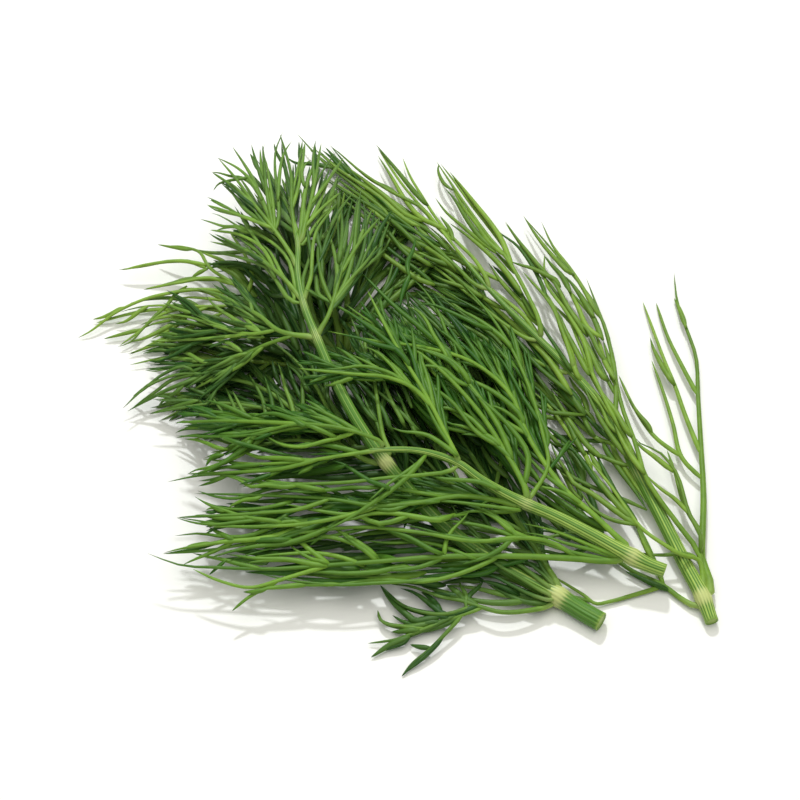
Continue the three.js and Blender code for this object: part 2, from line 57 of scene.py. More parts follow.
# The heap is laid out on an oblique drawing, as someone standing over the surface sees it.
# A point is (across, up the drawing, height above the surface), in millimetres, and `placed`
# finds it in space. Lengths below are in millimetres too, where nothing else is said.
EYE_DISTANCE = 490
EYE_ELEVATION = math.radians(55)
EYE = EYE_DISTANCE * np.array([0, -math.cos(EYE_ELEVATION), math.sin(EYE_ELEVATION)])
ACROSS = np.array([1.0, 0, 0])
DRAWING_UP = np.array([0, math.sin(EYE_ELEVATION), math.cos(EYE_ELEVATION)])
FOOTPRINT_MIDDLE = np.array([-1.3, 3.7, 0])
FLOOR_GAP = 0.05  # clear height between the lowest threads and the surface
FINE_STEPS = 12  # points on a smooth curve for each drawn point, before they are spaced evenly

# Limbs are the axes, twigs and threads of a leaf.
SPINE_RINGS = 30  # on an axis or a twig, with its tip
SPINE_SIDES = 8
SPINE_TIP = 0.26  # radius that an axis or a twig ends with, before its point
SPINE_POINT = 7  # its length over its point's
SPINE_OUT = 0.5  # how far out its tip counts in colour, where a thread's tip is 1
TWIG_RADIUS = 0.45  # at its foot
FLARE = 0.3  # how much thicker an axis is where it leaves its joint
FLARE_LENGTH = 3.2  # over which the flare fades
LOWEST_DROOP = 3.5  # height that a hanging leaf stays above
ROOT_PINCH = 0.55  # how much slimmer a limb is where it springs from another
PINCH_LENGTH = 1.0  # over which the pinch fades
SHEATH_REACH = 5.5  # how far off a joint limbs are lighter and paler
SHEATH_TONE = 0.6  # how much lighter they are beside it
TONE_STRAY = 0.26  # how far single limbs differ from their leaf's shade

GROWN_RINGS = 9  # on a thread that fills in by habit, without its tip
DRAWN_RINGS = 14  # on a drawn thread, with its tip
THREAD_SIDES = 6
FLATNESS = 0.8  # thickness over width
THREAD_WIDTHS = (0.8, 1.2)  # narrowest and widest, as multiples of the width asked for
THREAD_TAPER = 0.72  # how much narrower a thread is at its tip, before its point
TAPER_POWER = 2.2  # of the share run
POINT_POWER = 8  # of the share run, for the point
DARK_WIDTH = 1.4  # of the broad dark threads, over the fine ones'
# The broad dark threads have a fixed low tone, painted shade beneath the heap.
PAINTED_SHADE_TONE = 0.15  # their shade
DRAWN_FOOT = 0.3  # how far out the foot of a thread counts in colour, lit and drawn
# Dark and grown threads start past the yellow of the foot and reach the tip colour sooner, as part of their
# painted shade.
SHADY_FOOT = 0.6  # the same for dark and grown ones
TURN_COST = 20  # how much a turn at its root counts against a spot for a thread to spring from
WIDEST_TURN = 0.4  # one less the cosine of the widest turn
ROOTED = 0.7  # how far from its limb a thread's first drawn point may lie
HAIR = 1e-6  # keeps a distance above zero

# Grown threads and their forks. A pair is the lowest and the highest of a random value.
FIRST_TURN = 0.3  # share of its angle that a thread leaves its limb at
OPENING = 0.3  # share of its length over which it opens to the whole angle
WAVE = 0.05  # radians
CLIMB_KEPT = 0.6  # share of its limb's climb that a thread keeps
SAG = 0.06  # fall at its tip over its length
SPOT_STRAY = (-0.3, 0.3)  # how far off an even spot it springs, in spacings
ANGLE_STRAY = (0.7, 1.25)  # its angle, over the habit's
REACH_STRAY = (0.75, 1.15)  # its length, over the habit's
REACH_LOSS = 0.4  # how much shorter threads are at their limb's tip
TIP_REACH = 0.95  # share of the way left to its limb's tip that a thread may reach
TIP_SPARE = 1  # and how much further
FORK_SPOT = (0.35, 0.95)  # where in its own stretch of the thread a fork springs
TIP_STRETCH = 0.8  # the last stretch, free of forks, over one of theirs
FORK_ANGLE_STRAY = (0.7, 1.3)
FORK_REACH_STRAY = (0.7, 1.05)  # its length, over the rest of its thread's

STALK_STEP = 1.0  # between two rings of a stalk
SIDES_IN_A_RIB = 6
RIB_TWIST = 0.006  # radians for each millimetre along the stalk
RIB_LEVEL = 0.6  # where between groove and ridge the stalk's radius is measured
RIB_LOSS = 0.6  # how much shallower the grooves are at a joint
WEAKEST_RIB = 0.3  # lowest brightness of a rib, over the highest
# A joint is pale by its nearness to this power on a ridge, and the sum of both in a groove.
RIDGE_FADE = 0.5
GROOVE_FADE = 1.4

# The rings of a cut end from its middle out: (share of the radius, depth into the stalk as a
# share of the radius), and the ridge and paleness that each is coloured with.
CUT_RINGS = [(0.35, 0.16), (0.7, 0.12), (0.86, 0.03), (0.96, 0), (1, 0.06)]
CUT_GROWTH = [(0.8, 0.3), (0.7, 0.2), (0.4, 0.1), (0.8, 0.05), (0.6, 0)]

CELL_EDGE = 0.04  # empty edge of a limb's cell on the map, as a share of it

# A change of colour: (the value it starts at, the one it ends at, its strength before, after).
YOUNG_FOOT = (0, 0.55, 0.5, 0)
DARK_TIP = (0.75, 1, 0, 0.45)
CLOUDS = (0.35, 0.7, 0, 0.3)
STREAKS = (0.4, 0.7, 0, 0.35)
SHEATH_PALE = (0.3, 1, 0, 0.35)
LIMB_SIDES = (0.55, 0.95, 0, 1)
RIDGES = (0.25, 0.9, 0, 1)
JOINT_PALE = (0.1, 0.9, 0, 0.85)
# Painted shade along the top and the underside of a limb, where a shallow groove down its middle would be
# shaded; its sides keep their colour.
GROOVE_SHADE_TINT = (0.68, 0.77, 0.74)
WHITE = (1, 1, 1)
STREAK_SCALE = (500, 30, 1)  # of the noise, round a limb and along it
STREAK_DETAIL = 2
CLOUD_DETAIL = 4
BUMP_DETAIL = 3
BUMP_HEIGHT = 0.1
# For each finish: roughness, specular level, scale of the clouds, scale and strength of the bumps.
LEAF_FINISH = (0.45, 0.2, 350, 2500, 0.35)
STALK_FINISH = (0.4, 0.3, 300, 1800, 0.3)
# The sockets that a Mix node uses for colours.
MIX_FACTOR, MIX_FIRST, MIX_SECOND, MIX_RESULT = 0, 6, 7, 2

# The stage, in metres. The lamp is small, for a shadow with an edge, and the softbox is wide.
LAMP_PLACE = (-0.05, 0.71, 0.84)
LAMP_SIZE = 0.065
SOFTBOX_HEIGHT = 1.2
SOFTBOX_SIZE = 1.6
COOL = (0.96, 0.98, 1)
WARM = (1, 0.975, 0.91)
SURROUNDINGS = (0.97, 0.985, 1)
FLOOR_ROUGHNESS = 0.85
FLOOR_SPECULAR = 0.2
NEAREST_SEEN = 0.01
SENSOR_WIDTH = 36  # millimetres

# How fine threads fill in along the axis and the twigs of a leaf that has a habit. `spacing`,
# `reach` and `start` are the stretch between two threads, a thread's length and the bare foot of
# the limb. `until` is the share of the limb that is filled in. `angle` is between thread and limb
# and `fork_angle` between thread and fork, in degrees. `curl` is the share of its angle that a
# thread turns back by, and `tilt` how far threads stray up and down, over their length. Each of
# `layers` is how far below its limb it lies, its threads' width as a multiple of the leaf's, the
# share of the leaf's shade that they keep, and the share of the filled stretch that it covers. That
# share is low, and nothing in the deepest layer, as painted shade inside the heap.
HABITS = {
    "dense": {
        "spacing": 1.7, "reach": 14, "start": 4, "until": 0.75, "angle": 20, "curl": 0.8, "forks": 2,
        "fork_angle": 15, "tilt": 0.07, "layers": [(1.8, 0.95, 0.35, 1), (5, 1.6, 0, 0.75)],
    },
    "inner": {
        "spacing": 1.9, "reach": 13, "start": 5, "until": 0.62, "angle": 17, "curl": 0.9, "forks": 2,
        "fork_angle": 14, "tilt": 0.06, "layers": [(1.8, 0.95, 0.35, 1), (5, 1.6, 0, 0.75)],
    },
    "airy": {
        "spacing": 4, "reach": 12, "start": 4, "until": 0.65, "angle": 17, "curl": 0.7, "forks": 1,
        "fork_angle": 14, "tilt": 0.08, "layers": [(0.8, 0.95, 0.5, 1)],
    },
}

# Each frond is a stalk and its leaves. The stalk has its points from the cut end, `radii` as
# (share of its length, radius), `gloss` as (share of its length, how bright its ridges are), and
# `joints` as the numbers of its points that are joints, with how swollen and pale each is. `width`
# is how wide the frond's threads and twigs are as a multiple of the thread width.
# Each leaf starts beside a joint: its `axis` runs out to its tip, and its `twigs` branch off it.
# `shade` is 0 for the deepest green of the frond and 1 for the brightest: partly the leaf's own tone
# and partly painted shade, lower for leaves that lie low or inside the heap. `droop` is how far across
# the drawing a leaf starts to hang down, and how many millimetres it falls for each one past that,
# and `foot` is a longer bare foot for its axis than its habit's. `lit` are its fine threads, and
# `dark` broad ones, nearly all in the shade beneath and darkened as painted shade: for each thread
# its height at the root and at the tip, and then its points on the drawing, two numbers for each.

RIGHT = {
    "slot": "fresh_leaf", "width": 1.2, "joints": {1: 1, 4: 0.35, 6: 0.2, 7: 0.15, 8: 0.1},
    "radii": [(0, 1.25), (0.1, 1.4), (0.4, 1.2), (0.7, 0.75), (1, 0.35)],
    "gloss": [(0, 1.3), (0.12, 1.3), (0.3, 0.9), (1, 0.8)],
    "stalk": [
        (62.4, -44.4, 1.3), (60.8, -40, 1.75), (57.4, -33.6, 2.1), (52.5, -24, 2.9), (47.6, -14.5, 3.7),
        (42.3, -4, 4.7), (34.5, 5.5, 5.6), (28, 12, 6.2), (18, 22, 6.6), (12, 29, 6.6),
    ],
}
RIGHT_LEAVES = {}
RIGHT_LEAVES["right_leaf_1_outer"] = {"radius": 0.75, "shade": 0.75, "axis": [
    (61.9, -39, 2), (62, -36.5, 2.3), (60.4, -31.5, 2.3), (60.5, -27, 2.3), (60.7, -20, 2.2), (60.6, -16, 2),
    (60.3, -11, 2), (59.6, 0.8, 1.8), (59.1, 9, 1.6), (57.2, 14.5, 1.4), (55.4, 20, 0.9), (54.8, 25.6, 0.3),
], "twigs": [
    [(60.5, -27, 2.3), (57, -21.3, 2.6), (54.8, -14, 2.4), (53.4, -10, 2)],
    [(60.6, -16, 2), (56.3, -11.4, 2.2), (54.6, -4.8, 2), (52.4, 2.3, 1.6), (50.3, 8, 1)],
    [(56.3, -11.4, 2.2), (51, -7.4, 2.4), (46.8, -1.5, 2), (43.7, 5, 1.2)],
    [(60.3, -11, 2), (58.4, -6.5, 2), (56.8, -2.4, 2), (55, 2.8, 1.8), (53, 7.6, 1.6), (50.5, 14.3, 1.2),
     (48.5, 19.8, 0.5)], [(59.6, 0.8, 1.8), (56.2, 7.2, 1.8), (53.6, 12.5, 1.4), (51.2, 19.5, 0.5)],
], "lit": [
    (2, 0.8, 57.2, 14.5, 55.8, 18.4, 54.8, 20.4),
    (2.8, 1, 54.4, 3.8, 53.5, 5, 51.8, 8, 50.5, 10.8, 50, 12.6), (3, 2, 49.6, -5, 47.6, -2.6, 45.7, 0.5),
]}
RIGHT_LEAVES["right_leaf_1_inner"] = {"radius": 0.6, "shade": 0.75, "axis": [
    (59.7, -30.4, 3), (56.5, -26, 4), (52, -20, 5.2), (49.2, -15.6, 6), (47.2, -9, 6.2), (44.3, -1, 6),
    (42.8, 6, 5.6), (41.5, 13, 5), (39, 19, 4.4), (35, 24.5, 3.8), (30.5, 30, 3), (24.7, 36.7, 1.6),
], "lit": [
    (5, 5.4, 60.2, -27.4, 57.9, -22.9, 54.7, -13.6, 52, -10.5, 47.6, -8.3, 46.5, -7),
    (5, 6, 54.7, -14.4, 50.6, -11.1, 48.4, -9.5, 46.7, -7.7),
    (5, 6, 56.7, -21.5, 54.9, -19.7, 52.2, -17.8, 50, -15.8, 48.6, -14.4),
    (6.4, 6, 49, -14.8, 46.3, -11.3, 43.7, -6.6, 42.6, -4),
    (7, 5.4, 45.7, -6.6, 42.9, -1.9, 40.2, 1.5, 38.6, 4, 36.4, 7.6),
    (6.4, 5.4, 42.5, -3.4, 39, 1.5, 35.5, 5, 34, 6.8), (7.4, 4.6, 43, 4, 40.8, 8, 39.8, 11.6, 38.6, 14),
]}
RIGHT_LEAVES["right_leaf_1_low"] = {"radius": 0.55, "shade": 0.6, "axis": [
    (59.2, -31.6, 3.6), (57, -31.2, 5), (53, -29, 6), (48, -25.3, 6.2), (45.5, -22, 6), (42, -17, 5.6),
    (37, -11, 5),
], "lit": [
    (6, 3.4, 47.6, -25.2, 45.3, -21.5, 43.3, -18.8, 41.6, -15.6, 40.2, -12.9, 38.6, -9),
    (6, 3.6, 47.6, -25.2, 43.3, -22.3, 38.2, -18.6, 34.5, -16.4, 33.3, -14.2, 31.3, -11.3, 30, -8),
    (6, 4.6, 47.1, -25, 41.8, -23.7, 38.2, -21.3, 36.8, -19.3, 35.6, -17.6),
    (6, 3.6, 45.7, -23.1, 41.8, -18.8, 37.4, -13.3, 35.9, -11.7, 33.6, -8),
    (4.4, 6, 50.5, -32, 48.8, -28.6, 47.4, -25.6),
    (3.6, 4.4, 58.8, -31.3, 51.6, -31, 48.6, -30.7, 46.7, -29.8), (4, 1.8, 38, -13, 34, -7, 29.5, -1, 25, 3),
    (4.6, 3.4, 40.4, -11.6, 37.6, -9.2, 35.6, -6.6, 33.8, -4, 31.4, 0, 30, 2.4),
    (5, 4.4, 42.6, -20, 39.6, -16.6, 36.6, -12.4, 34.6, -10, 31, -8.4),
    (4, 3.4, 37, -11, 35, -7.6, 33.6, -4.6, 32, -2.4, 29.6, -0.6), (4, 4, 40.4, -15, 39, -12.4, 37.6, -10),
]}
RIGHT_LEAVES["left_leaf_1"] = {"radius": 0.6, "shade": 0.3, "axis": [
    (59.6, -41.3, 1.2), (57, -40.2, 0.9), (52.8, -37.2, 0.8), (46.5, -34.2, 0.9), (42, -31, 1.1),
    (36, -25, 1.3), (30, -19, 1.3), (24, -12, 1.2),
], "twigs": [
    [(52.8, -37.2, 0.8), (46, -39.2, 0.7), (42, -40.3, 0.7), (39, -40.7, 0.8), (37, -39.2, 0.9),
     (34, -37.3, 1.1), (30, -34.9, 1.4)],
    [(52.8, -37.2, 0.8), (51, -32.5, 1), (48.2, -26.5, 1.1), (43, -18.5, 1.1), (40, -14, 1)],
], "lit": [
    (0.8, 1, 38.2, -40.4, 35.5, -39.5, 34, -38.9),
    (2, 1.6, 33, -18.6, 31.4, -15.6, 30.4, -12.6, 29, -10.4, 27.4, -8),
    (2, 1.6, 35.6, -17.6, 34.4, -14.6, 33, -11.6, 31, -9.2, 28.6, -7),
    (2, 1.6, 36.4, -20, 34.8, -18.6, 33, -15.4, 31.6, -13, 30, -10.6),
    (1.6, 1.4, 41, -28, 38.4, -25, 36, -22, 34, -19, 32.6, -16.4),
], "dark": [
    (1, 1, 53, -37.7, 49, -36, 45, -34.2), (1, 1, 52, -37.4, 49, -36, 46, -34.6),
    (2, 2, 38, -19, 35.6, -14.6, 33.4, -10.4), (2, 2, 34, -27, 30, -23.6, 27, -19),
    (2, 2, 36, -26, 32, -22.6, 29, -19), (2, 2, 36, -13, 34.2, -10.6, 32, -8),
]}
RIGHT_LEAVES["right_leaf_2"] = {"radius": 0.5, "shade": 0.6, "axis": [
    (45.6, -8.6, 5.6), (42, -2, 6.6), (38.6, 5, 6.6), (35.6, 12, 5.8), (32.5, 19.5, 4.8), (27, 26.8, 3.6),
    (20.9, 35.6, 2),
], "twigs": [
    [(38.6, 5, 6.6), (36.6, 12, 7), (33, 18, 6.2), (29, 24, 5), (28.9, 29.2, 3.8)],
], "lit": [
    (5.4, 2.6, 33.4, 25.8, 31.5, 27.8, 30, 29.4, 27.1, 33.1, 24.6, 37),
    (5, 2.2, 39, 18, 36.4, 22.7, 33.5, 27, 30.7, 30.6, 28.2, 35.8),
    (5.6, 3.4, 34.1, 21.5, 32.3, 24.9, 30.5, 26.8, 28.8, 28.9),
    (6.4, 2.4, 43.2, 2, 42.8, 7, 41.8, 11.5, 40.6, 15.5, 39.3, 19, 37.2, 24.5),
    (6, 4, 38.8, 16.6, 36.2, 20.7, 34.5, 23.1, 32.9, 24.9),
    (6, 4.6, 40.6, 12, 39.8, 13.8, 38.8, 16.2, 35.9, 19.7, 34.1, 21.7),
    (6.6, 4, 40.2, 12.5, 37.6, 14.4, 35.5, 18.8, 33.5, 22.7, 32.3, 25.4),
    (6.8, 4, 39.8, 9.7, 37.6, 14, 34.5, 16.6, 31.9, 20.7, 29.2, 23.7, 27.4, 25.2),
    (6, 5, 35.9, 15.2, 33.7, 18.4, 31.5, 22.5, 29.4, 25.4, 28, 26.4),
    (6.6, 5, 35.1, 5.6, 34.5, 8.5, 32.5, 13.5, 30.6, 19, 28, 23.1),
    (6.6, 4.4, 40.6, 4.6, 38.4, 8.9, 35.9, 13.4, 32.9, 16.8, 29.4, 20.3),
    (5.4, 6, 44, -9.6, 41.4, -6, 39.4, -2.6, 37.6, 1, 36.4, 3.6),
    (5.4, 6, 43.6, -6.6, 41.6, -4.6, 40.4, -1.6, 38.4, 0.8, 36.4, 4),
    (6, 5, 42.6, 2, 40.8, 5.4, 39.2, 9, 37.6, 12.6), (6, 5, 42.8, 3.6, 41.8, 8, 40.6, 12),
]}
RIGHT_LEAVES["left_leaf_2"] = {"radius": 0.55, "shade": 0.3, "habit": "airy", "axis": [
    (43.2, -9, 3), (40, -8, 2.4), (35, -4, 2), (29, 1.5, 1.8), (22, 8, 1.6), (13, 17, 1.2),
], "twigs": [
    [(35, -4, 2), (27, -3, 1.8), (19, 0, 1.6), (10, 4, 1.2)],
], "lit": [
    (3.6, 1.6, 44.7, -12.9, 39.8, -11.1, 33.9, -9.7, 30.9, -8.9, 27, -6.4),
    (3, 1.4, 35, -4, 31, -1.5, 27, 2.6, 22.5, 5),
    (3, 2, 30, -12, 26, -7, 21.4, -2, 17, 1.6, 13, 5.6, 9.6, 9),
    (3.4, 2, 32, -9, 28, -5, 24, -1.6, 20, 1, 15, 4, 11, 7),
    (3, 1.8, 27, -3, 23.4, 0.6, 20, 4.6, 16, 8.4, 12, 10.8),
    (3.4, 3, 38, -6, 36.4, -3, 34.9, -0.4, 33.4, 1.2, 31, 2.8, 29.4, 4.2),
    (3.4, 3, 38.2, -3.2, 36, -1.6, 33.5, -0.2, 31.8, 1.2, 29.6, 2.6),
    (3.4, 3, 37.4, -1.6, 36.6, 0.6, 35, 2.6, 33.6, 5),
    (3, 3.4, 41, -9.4, 42.6, -12, 45, -15.4, 47.4, -18.8, 49.4, -22), (3, 3, 42, -8, 40, -6, 38, -4, 36, -2),
    (3, 3.4, 43, -10.6, 45.4, -14.2, 47.8, -18, 50, -21.6),
], "dark": [
    (2, 2, 35, -9.8, 32, -7.4, 29, -5), (2, 2, 32, -1.6, 29, 2.4, 26, 7), (3, 3, 36, -3, 34, -1.2, 31, 1),
]}
RIGHT_LEAVES["right_leaf_3"] = {"radius": 0.5, "shade": 0.6, "axis": [
    (34.6, 7, 6.8), (33.8, 10, 7.4), (32.2, 14.5, 7.4), (30.8, 18, 6.6), (28.6, 21.2, 6), (26, 24, 5.4),
    (24.5, 25.7, 4.6),
], "lit": [
    (5.4, 6, 31.4, 23.7, 29, 25.1, 26.3, 26.4, 24.1, 27, 21.8, 27.8),
    (5.4, 3, 32, 22.5, 28.6, 25.9, 25.7, 29.4, 23.1, 32.7, 21, 35.8),
    (5, 3.4, 28.6, 22.5, 26.3, 27, 23.5, 30.8, 19.4, 33.9, 18.2, 35.2),
    (7, 5, 34.1, 6.2, 31.3, 10.5, 28, 15.8, 27.2, 18),
    (6.6, 5, 37.8, 5, 35.3, 9.7, 32.9, 14.4, 31.9, 16.8, 30.8, 18.4),
]}
RIGHT_LEAVES["left_leaf_3"] = {"radius": 0.5, "shade": 0.35, "habit": "dense", "axis": [
    (32.6, 5.6, 5), (28, 7.4, 4), (22, 11, 3.4), (15, 16, 3), (8, 21, 2.4), (0, 25, 1.8),
], "lit": [
    (4, 2.6, 26, 4, 22.6, 7.6, 18.6, 12, 14, 16.6, 9, 19.4, 4.4, 21),
    (4, 2.4, 25, 4.6, 21, 9, 16, 13, 11, 15.6, 5, 17.6),
    (3.6, 2.4, 18, 10.6, 13, 13.6, 8, 15.4, 3, 16.2, -1, 17.4),
    (4.6, 3.6, 28, -1.6, 24.2, 4.8, 20.3, 11.2, 12, 17.6, 5.6, 22.7),
], "dark": [
    (4.5, 4, 37, -3, 33, 2.5, 29, 7.6, 25.4, 12), (4.5, 4, 36, -1, 31.6, 4, 27.6, 9, 24, 13.6),
    (4, 3, 34, 0, 30, 5.4, 26, 9.6, 22, 13.6),
]}
RIGHT_LEAVES["right_leaf_4"] = {"radius": 0.5, "shade": 0.6, "axis": [
    (28.2, 13.4, 7.2), (27.6, 16.5, 8), (26, 20, 7.8), (21, 28.8, 6.4), (17.5, 33, 5.4), (13.5, 38.5, 4.2),
    (7.2, 47.8, 2.2),
], "twigs": [
    [(21, 28.8, 6.4), (17.8, 31.6, 6), (15.4, 35, 5), (12.4, 39, 3.8), (9.9, 44, 2.8)],
], "lit": [
    (6.4, 2.6, 22, 27.8, 20.2, 32.3, 18.2, 35.3, 15.3, 39, 11.7, 43.5, 9.7, 45.9),
    (3.6, 2.4, 10.5, 42, 9, 43.1, 8, 44.7, 7.6, 46.1, 7.8, 47.3),
    (6, 3, 18.6, 30.2, 15.6, 33.1, 13.3, 36.3, 10.7, 40.4, 9, 42.4),
    (6, 2.6, 19.2, 29.4, 16.6, 31.4, 12.3, 34.9, 9, 37.8, 7, 40.5),
    (7, 4, 24.3, 21.3, 21, 25.9, 17.6, 29.4, 13.7, 32.7, 9.7, 35.5),
    (7, 5, 27, 16.6, 25.5, 19, 23.1, 22.7, 21.9, 23.9), (6, 4, 27.5, 15, 24, 19.6, 20, 24, 17.6, 27.6),
    (6, 4, 28, 14.6, 25.4, 18, 22.6, 21, 19.6, 24.4),
    (3.6, 2.4, 20.6, 31, 17.6, 35, 14.4, 39, 11.4, 43, 8, 47.4),
    (4, 2.4, 19.6, 33.4, 16.4, 37.4, 13, 41.4, 10, 45.6), (4, 3, 11.4, 29, 8.6, 32.2, 5.4, 35),
    (5, 4, 22.4, 26, 20.4, 28.2, 18.4, 30.2),
], "dark": [
    (3, 2.4, 25, 20, 21.6, 24, 18.4, 27),
]}
RIGHT_LEAVES["left_leaf_4"] = {"radius": 0.45, "shade": 0.4, "habit": "dense", "axis": [
    (26.6, 12, 6), (21.5, 14.8, 5.4), (14.5, 20.5, 4.6), (7, 26.5, 3.6), (0, 31, 2.6),
], "lit": [
    (5.4, 4, 16.2, 20.7, 12.7, 23.3, 9.7, 25.7, 5, 28.2),
    (5, 4, 17.6, 20.2, 14.7, 21.7, 11.7, 22.9, 8.8, 23.9, 6, 25.4),
    (5, 3.6, 19.6, 18.8, 15.5, 21.2, 11.5, 23.6, 8, 25.6),
    (5.4, 5, 25.4, 0.6, 24.8, 5, 23.6, 10, 22, 13.2, 19.4, 16.4, 16, 19, 13, 21.8),
    (5, 3.6, 26.4, 8, 23, 12.6, 19.6, 15.6, 15, 18.4, 10.6, 20.8, 7, 23),
    (5.6, 4, 28, 12.6, 24.6, 17, 21, 20, 17.4, 22.8, 13.6, 25.6),
    (5.6, 4, 34.4, 1, 29.3, 8.6, 23.5, 14.4, 17.1, 20.2, 11.4, 25.9),
    (4.6, 3, 6, 27, 1.4, 30, -4.3, 34, -9.4, 38.5, -13.9, 42), (4, 3, 4, 25.6, -2, 30, -7, 34.6, -11, 39),
    (4, 3, 5, 23.6, -0.5, 27, -5.6, 31, -9.4, 35),
], "dark": [
    (4.5, 4, 31, 7, 28, 10.6, 25, 14, 21, 18),
]}
RIGHT_LEAVES["right_leaf_5"] = {"radius": 0.45, "shade": 0.6, "axis": [
    (17.4, 24, 7.4), (15, 28, 7), (11, 32, 6), (7.5, 36, 4.8), (4.4, 40.8, 3.6), (2, 44.8, 2.4),
    (0.5, 48.5, 1.4),
], "lit": [
    (5, 2.4, 5, 39.4, 1.9, 42.8, -0.1, 45.3, -2.4, 48.1, -4.8, 51.1),
    (6, 2.6, 9, 34, 4, 36.6, 0.9, 40.2, -1.5, 44.3, -4.5, 49),
    (5.6, 3, 7.8, 34.3, 4.2, 38.6, -0.1, 40.8, -4.6, 43.4, -8.5, 46.2, -12.5, 49.7, -14.2, 51),
    (6.4, 4.6, 10.7, 31.9, 10, 34, 8, 36.8), (4, 2.4, -2, 42.2, -4.6, 43.4, -8.5, 46.2, -10.5, 47.9),
    (4, 2.6, 2, 36.6, -3, 40.8, -8, 44.6, -12, 47.6),
]}
RIGHT_LEAVES["left_leaf_5"] = {"radius": 0.45, "shade": 0.4, "habit": "airy", "axis": [
    (16, 22.6, 6.4), (11, 27, 6), (4, 33, 5), (-4, 39.5, 3.6), (-9, 45, 2.2), (-14, 51, 0.5),
], "twigs": [
    [(-4, 39.5, 3.6), (-11, 44.5, 2.8), (-18, 50, 1.8)],
], "lit": [
    (6, 4, 9, 30.8, 3.8, 35.1, -1.1, 37.4, -4, 38.8), (5.6, 3.6, 9, 30.4, 3.8, 33.3, -2.1, 36.3, -4.8, 38.2),
    (5, 3.4, 11.7, 28.8, 7.8, 29.8, 3.8, 31.2, -3, 35.7, -6, 36.5),
    (5, 3.4, 13.7, 26.8, 9.7, 28.8, 5.8, 29.2, 3.1, 30),
    (4.6, 3, 12.5, 25.1, 6.8, 28, 3.8, 29.4, 0.7, 30.8, -3, 33.3),
    (4.4, 2.6, -2.6, 38.9, -6.8, 42.4, -10.5, 46.2, -12.5, 47.7),
    (4, 2, -2.6, 37.3, -7, 41.1, -11.3, 44.6, -15.4, 47.7, -19.2, 51.7, -20.7, 53.4),
    (4, 2.6, -2.6, 35.6, -7.6, 39.7, -12.5, 43, -14.8, 44.4),
    (3.4, 1.6, -13.5, 46.4, -17.4, 47.2, -21.1, 47.5, -22.9, 48.7),
    (5, 3.4, 12, 25.6, 3.7, 31.7, -2.7, 36.2), (4, 2.6, 4.6, 35, -1, 39.4, -6, 42.6, -10, 45),
    (3, 2, -9, 44.6, -12, 47.4, -15, 50.6), (5, 3, 3.4, 34.9, -5, 41.3, -12.6, 46.4, -18, 51),
    (5, 3, 3.4, 31, -3.7, 37.4, -11.4, 41.9, -16.5, 45.1),
    (5, 3, 2.7, 28.5, -2.4, 33.6, -8.8, 39.4, -13.9, 43.2), (3, 2, -7.6, 40.6, -10.4, 42.6, -13, 44.6),
]}
RIGHT_LEAVES["tip_leaf"] = {"radius": 0.4, "shade": 0.55, "axis": [
    (11.4, 30, 6.6), (7, 35.6, 5.8), (1, 42.4, 4.2), (-4.5, 50.4, 2),
]}

MIDDLE = {
    "slot": "bright_leaf", "width": 1.15, "joints": {2: 0.7, 5: 0.5, 7: 0.15, 9: 0.2},
    "radii": [(0, 1.3), (0.05, 1.35), (0.1, 1.5), (0.2, 1.3), (0.48, 1.05), (0.72, 0.75), (1, 0.45)],
    "gloss": [(0, 1.7), (0.3, 1.6), (0.5, 1.2), (1, 1)],
    "stalk": [
        (53, -34.2, 5), (49.5, -32.9, 5.4), (46.3, -31.3, 5.9), (38, -26.8, 7.2), (30, -22.8, 8.8),
        (25.2, -20.8, 9.8), (16, -15.8, 12), (12, -12.9, 13), (5, -10.4, 14.4), (-4, -10, 15.4),
        (-7, -10.3, 15.4),
    ],
}
MIDDLE_LEAVES = {}
MIDDLE_LEAVES["right_leaf_1_long"] = {"radius": 0.65, "shade": 0.5, "habit": "dense", "foot": 23, "axis": [
    (45.4, -29.3, 6.7), (43, -27, 7.2), (38, -22.3, 8), (33.5, -18.5, 8.4), (29.5, -13.5, 9),
    (25.5, -7, 9.6), (22.5, 0.5, 10.4), (15, 7.3, 12), (5, 10.5, 14.4), (-5, 11.8, 17.4), (-15, 13.9, 19.4),
], "twigs": [
    [(25.5, -7, 9.6), (19, -3, 10), (12, 2, 10.4), (4, 8, 10.6), (-4, 15, 10.8)],
], "lit": [
    (14.4, 19.2, 5, 10.5, 0, 11.4, -4, 13.7, -8, 16, -12, 18.5, -15, 20, -19.5, 22.5),
    (8.6, 9.6, 33, -18, 29.6, -15.4, 26.4, -12.2, 23.6, -8.6),
    (8.4, 9, 36, -20.6, 31.8, -18.2, 28, -17.2, 25.6, -15.8),
    (10, 11, 24.6, -4, 21.4, -0.4, 17.4, 2.4, 13.4, 4.2, 8, 6),
    (9.6, 10.6, 26, -8, 23.6, -4.4, 20.6, -2, 16.6, -0.6),
], "dark": [
    (6, 4, 41.4, -25.7, 37, -23.6, 32.8, -20.8, 26, -16.4, 20, -13.4),
    (5, 3.6, 42, -26.2, 38, -24.8, 33, -22.4, 28, -19, 23, -16),
    (6, 4, 37.6, -22.1, 33, -19.4, 28.6, -16.6, 24, -13.6),
]}
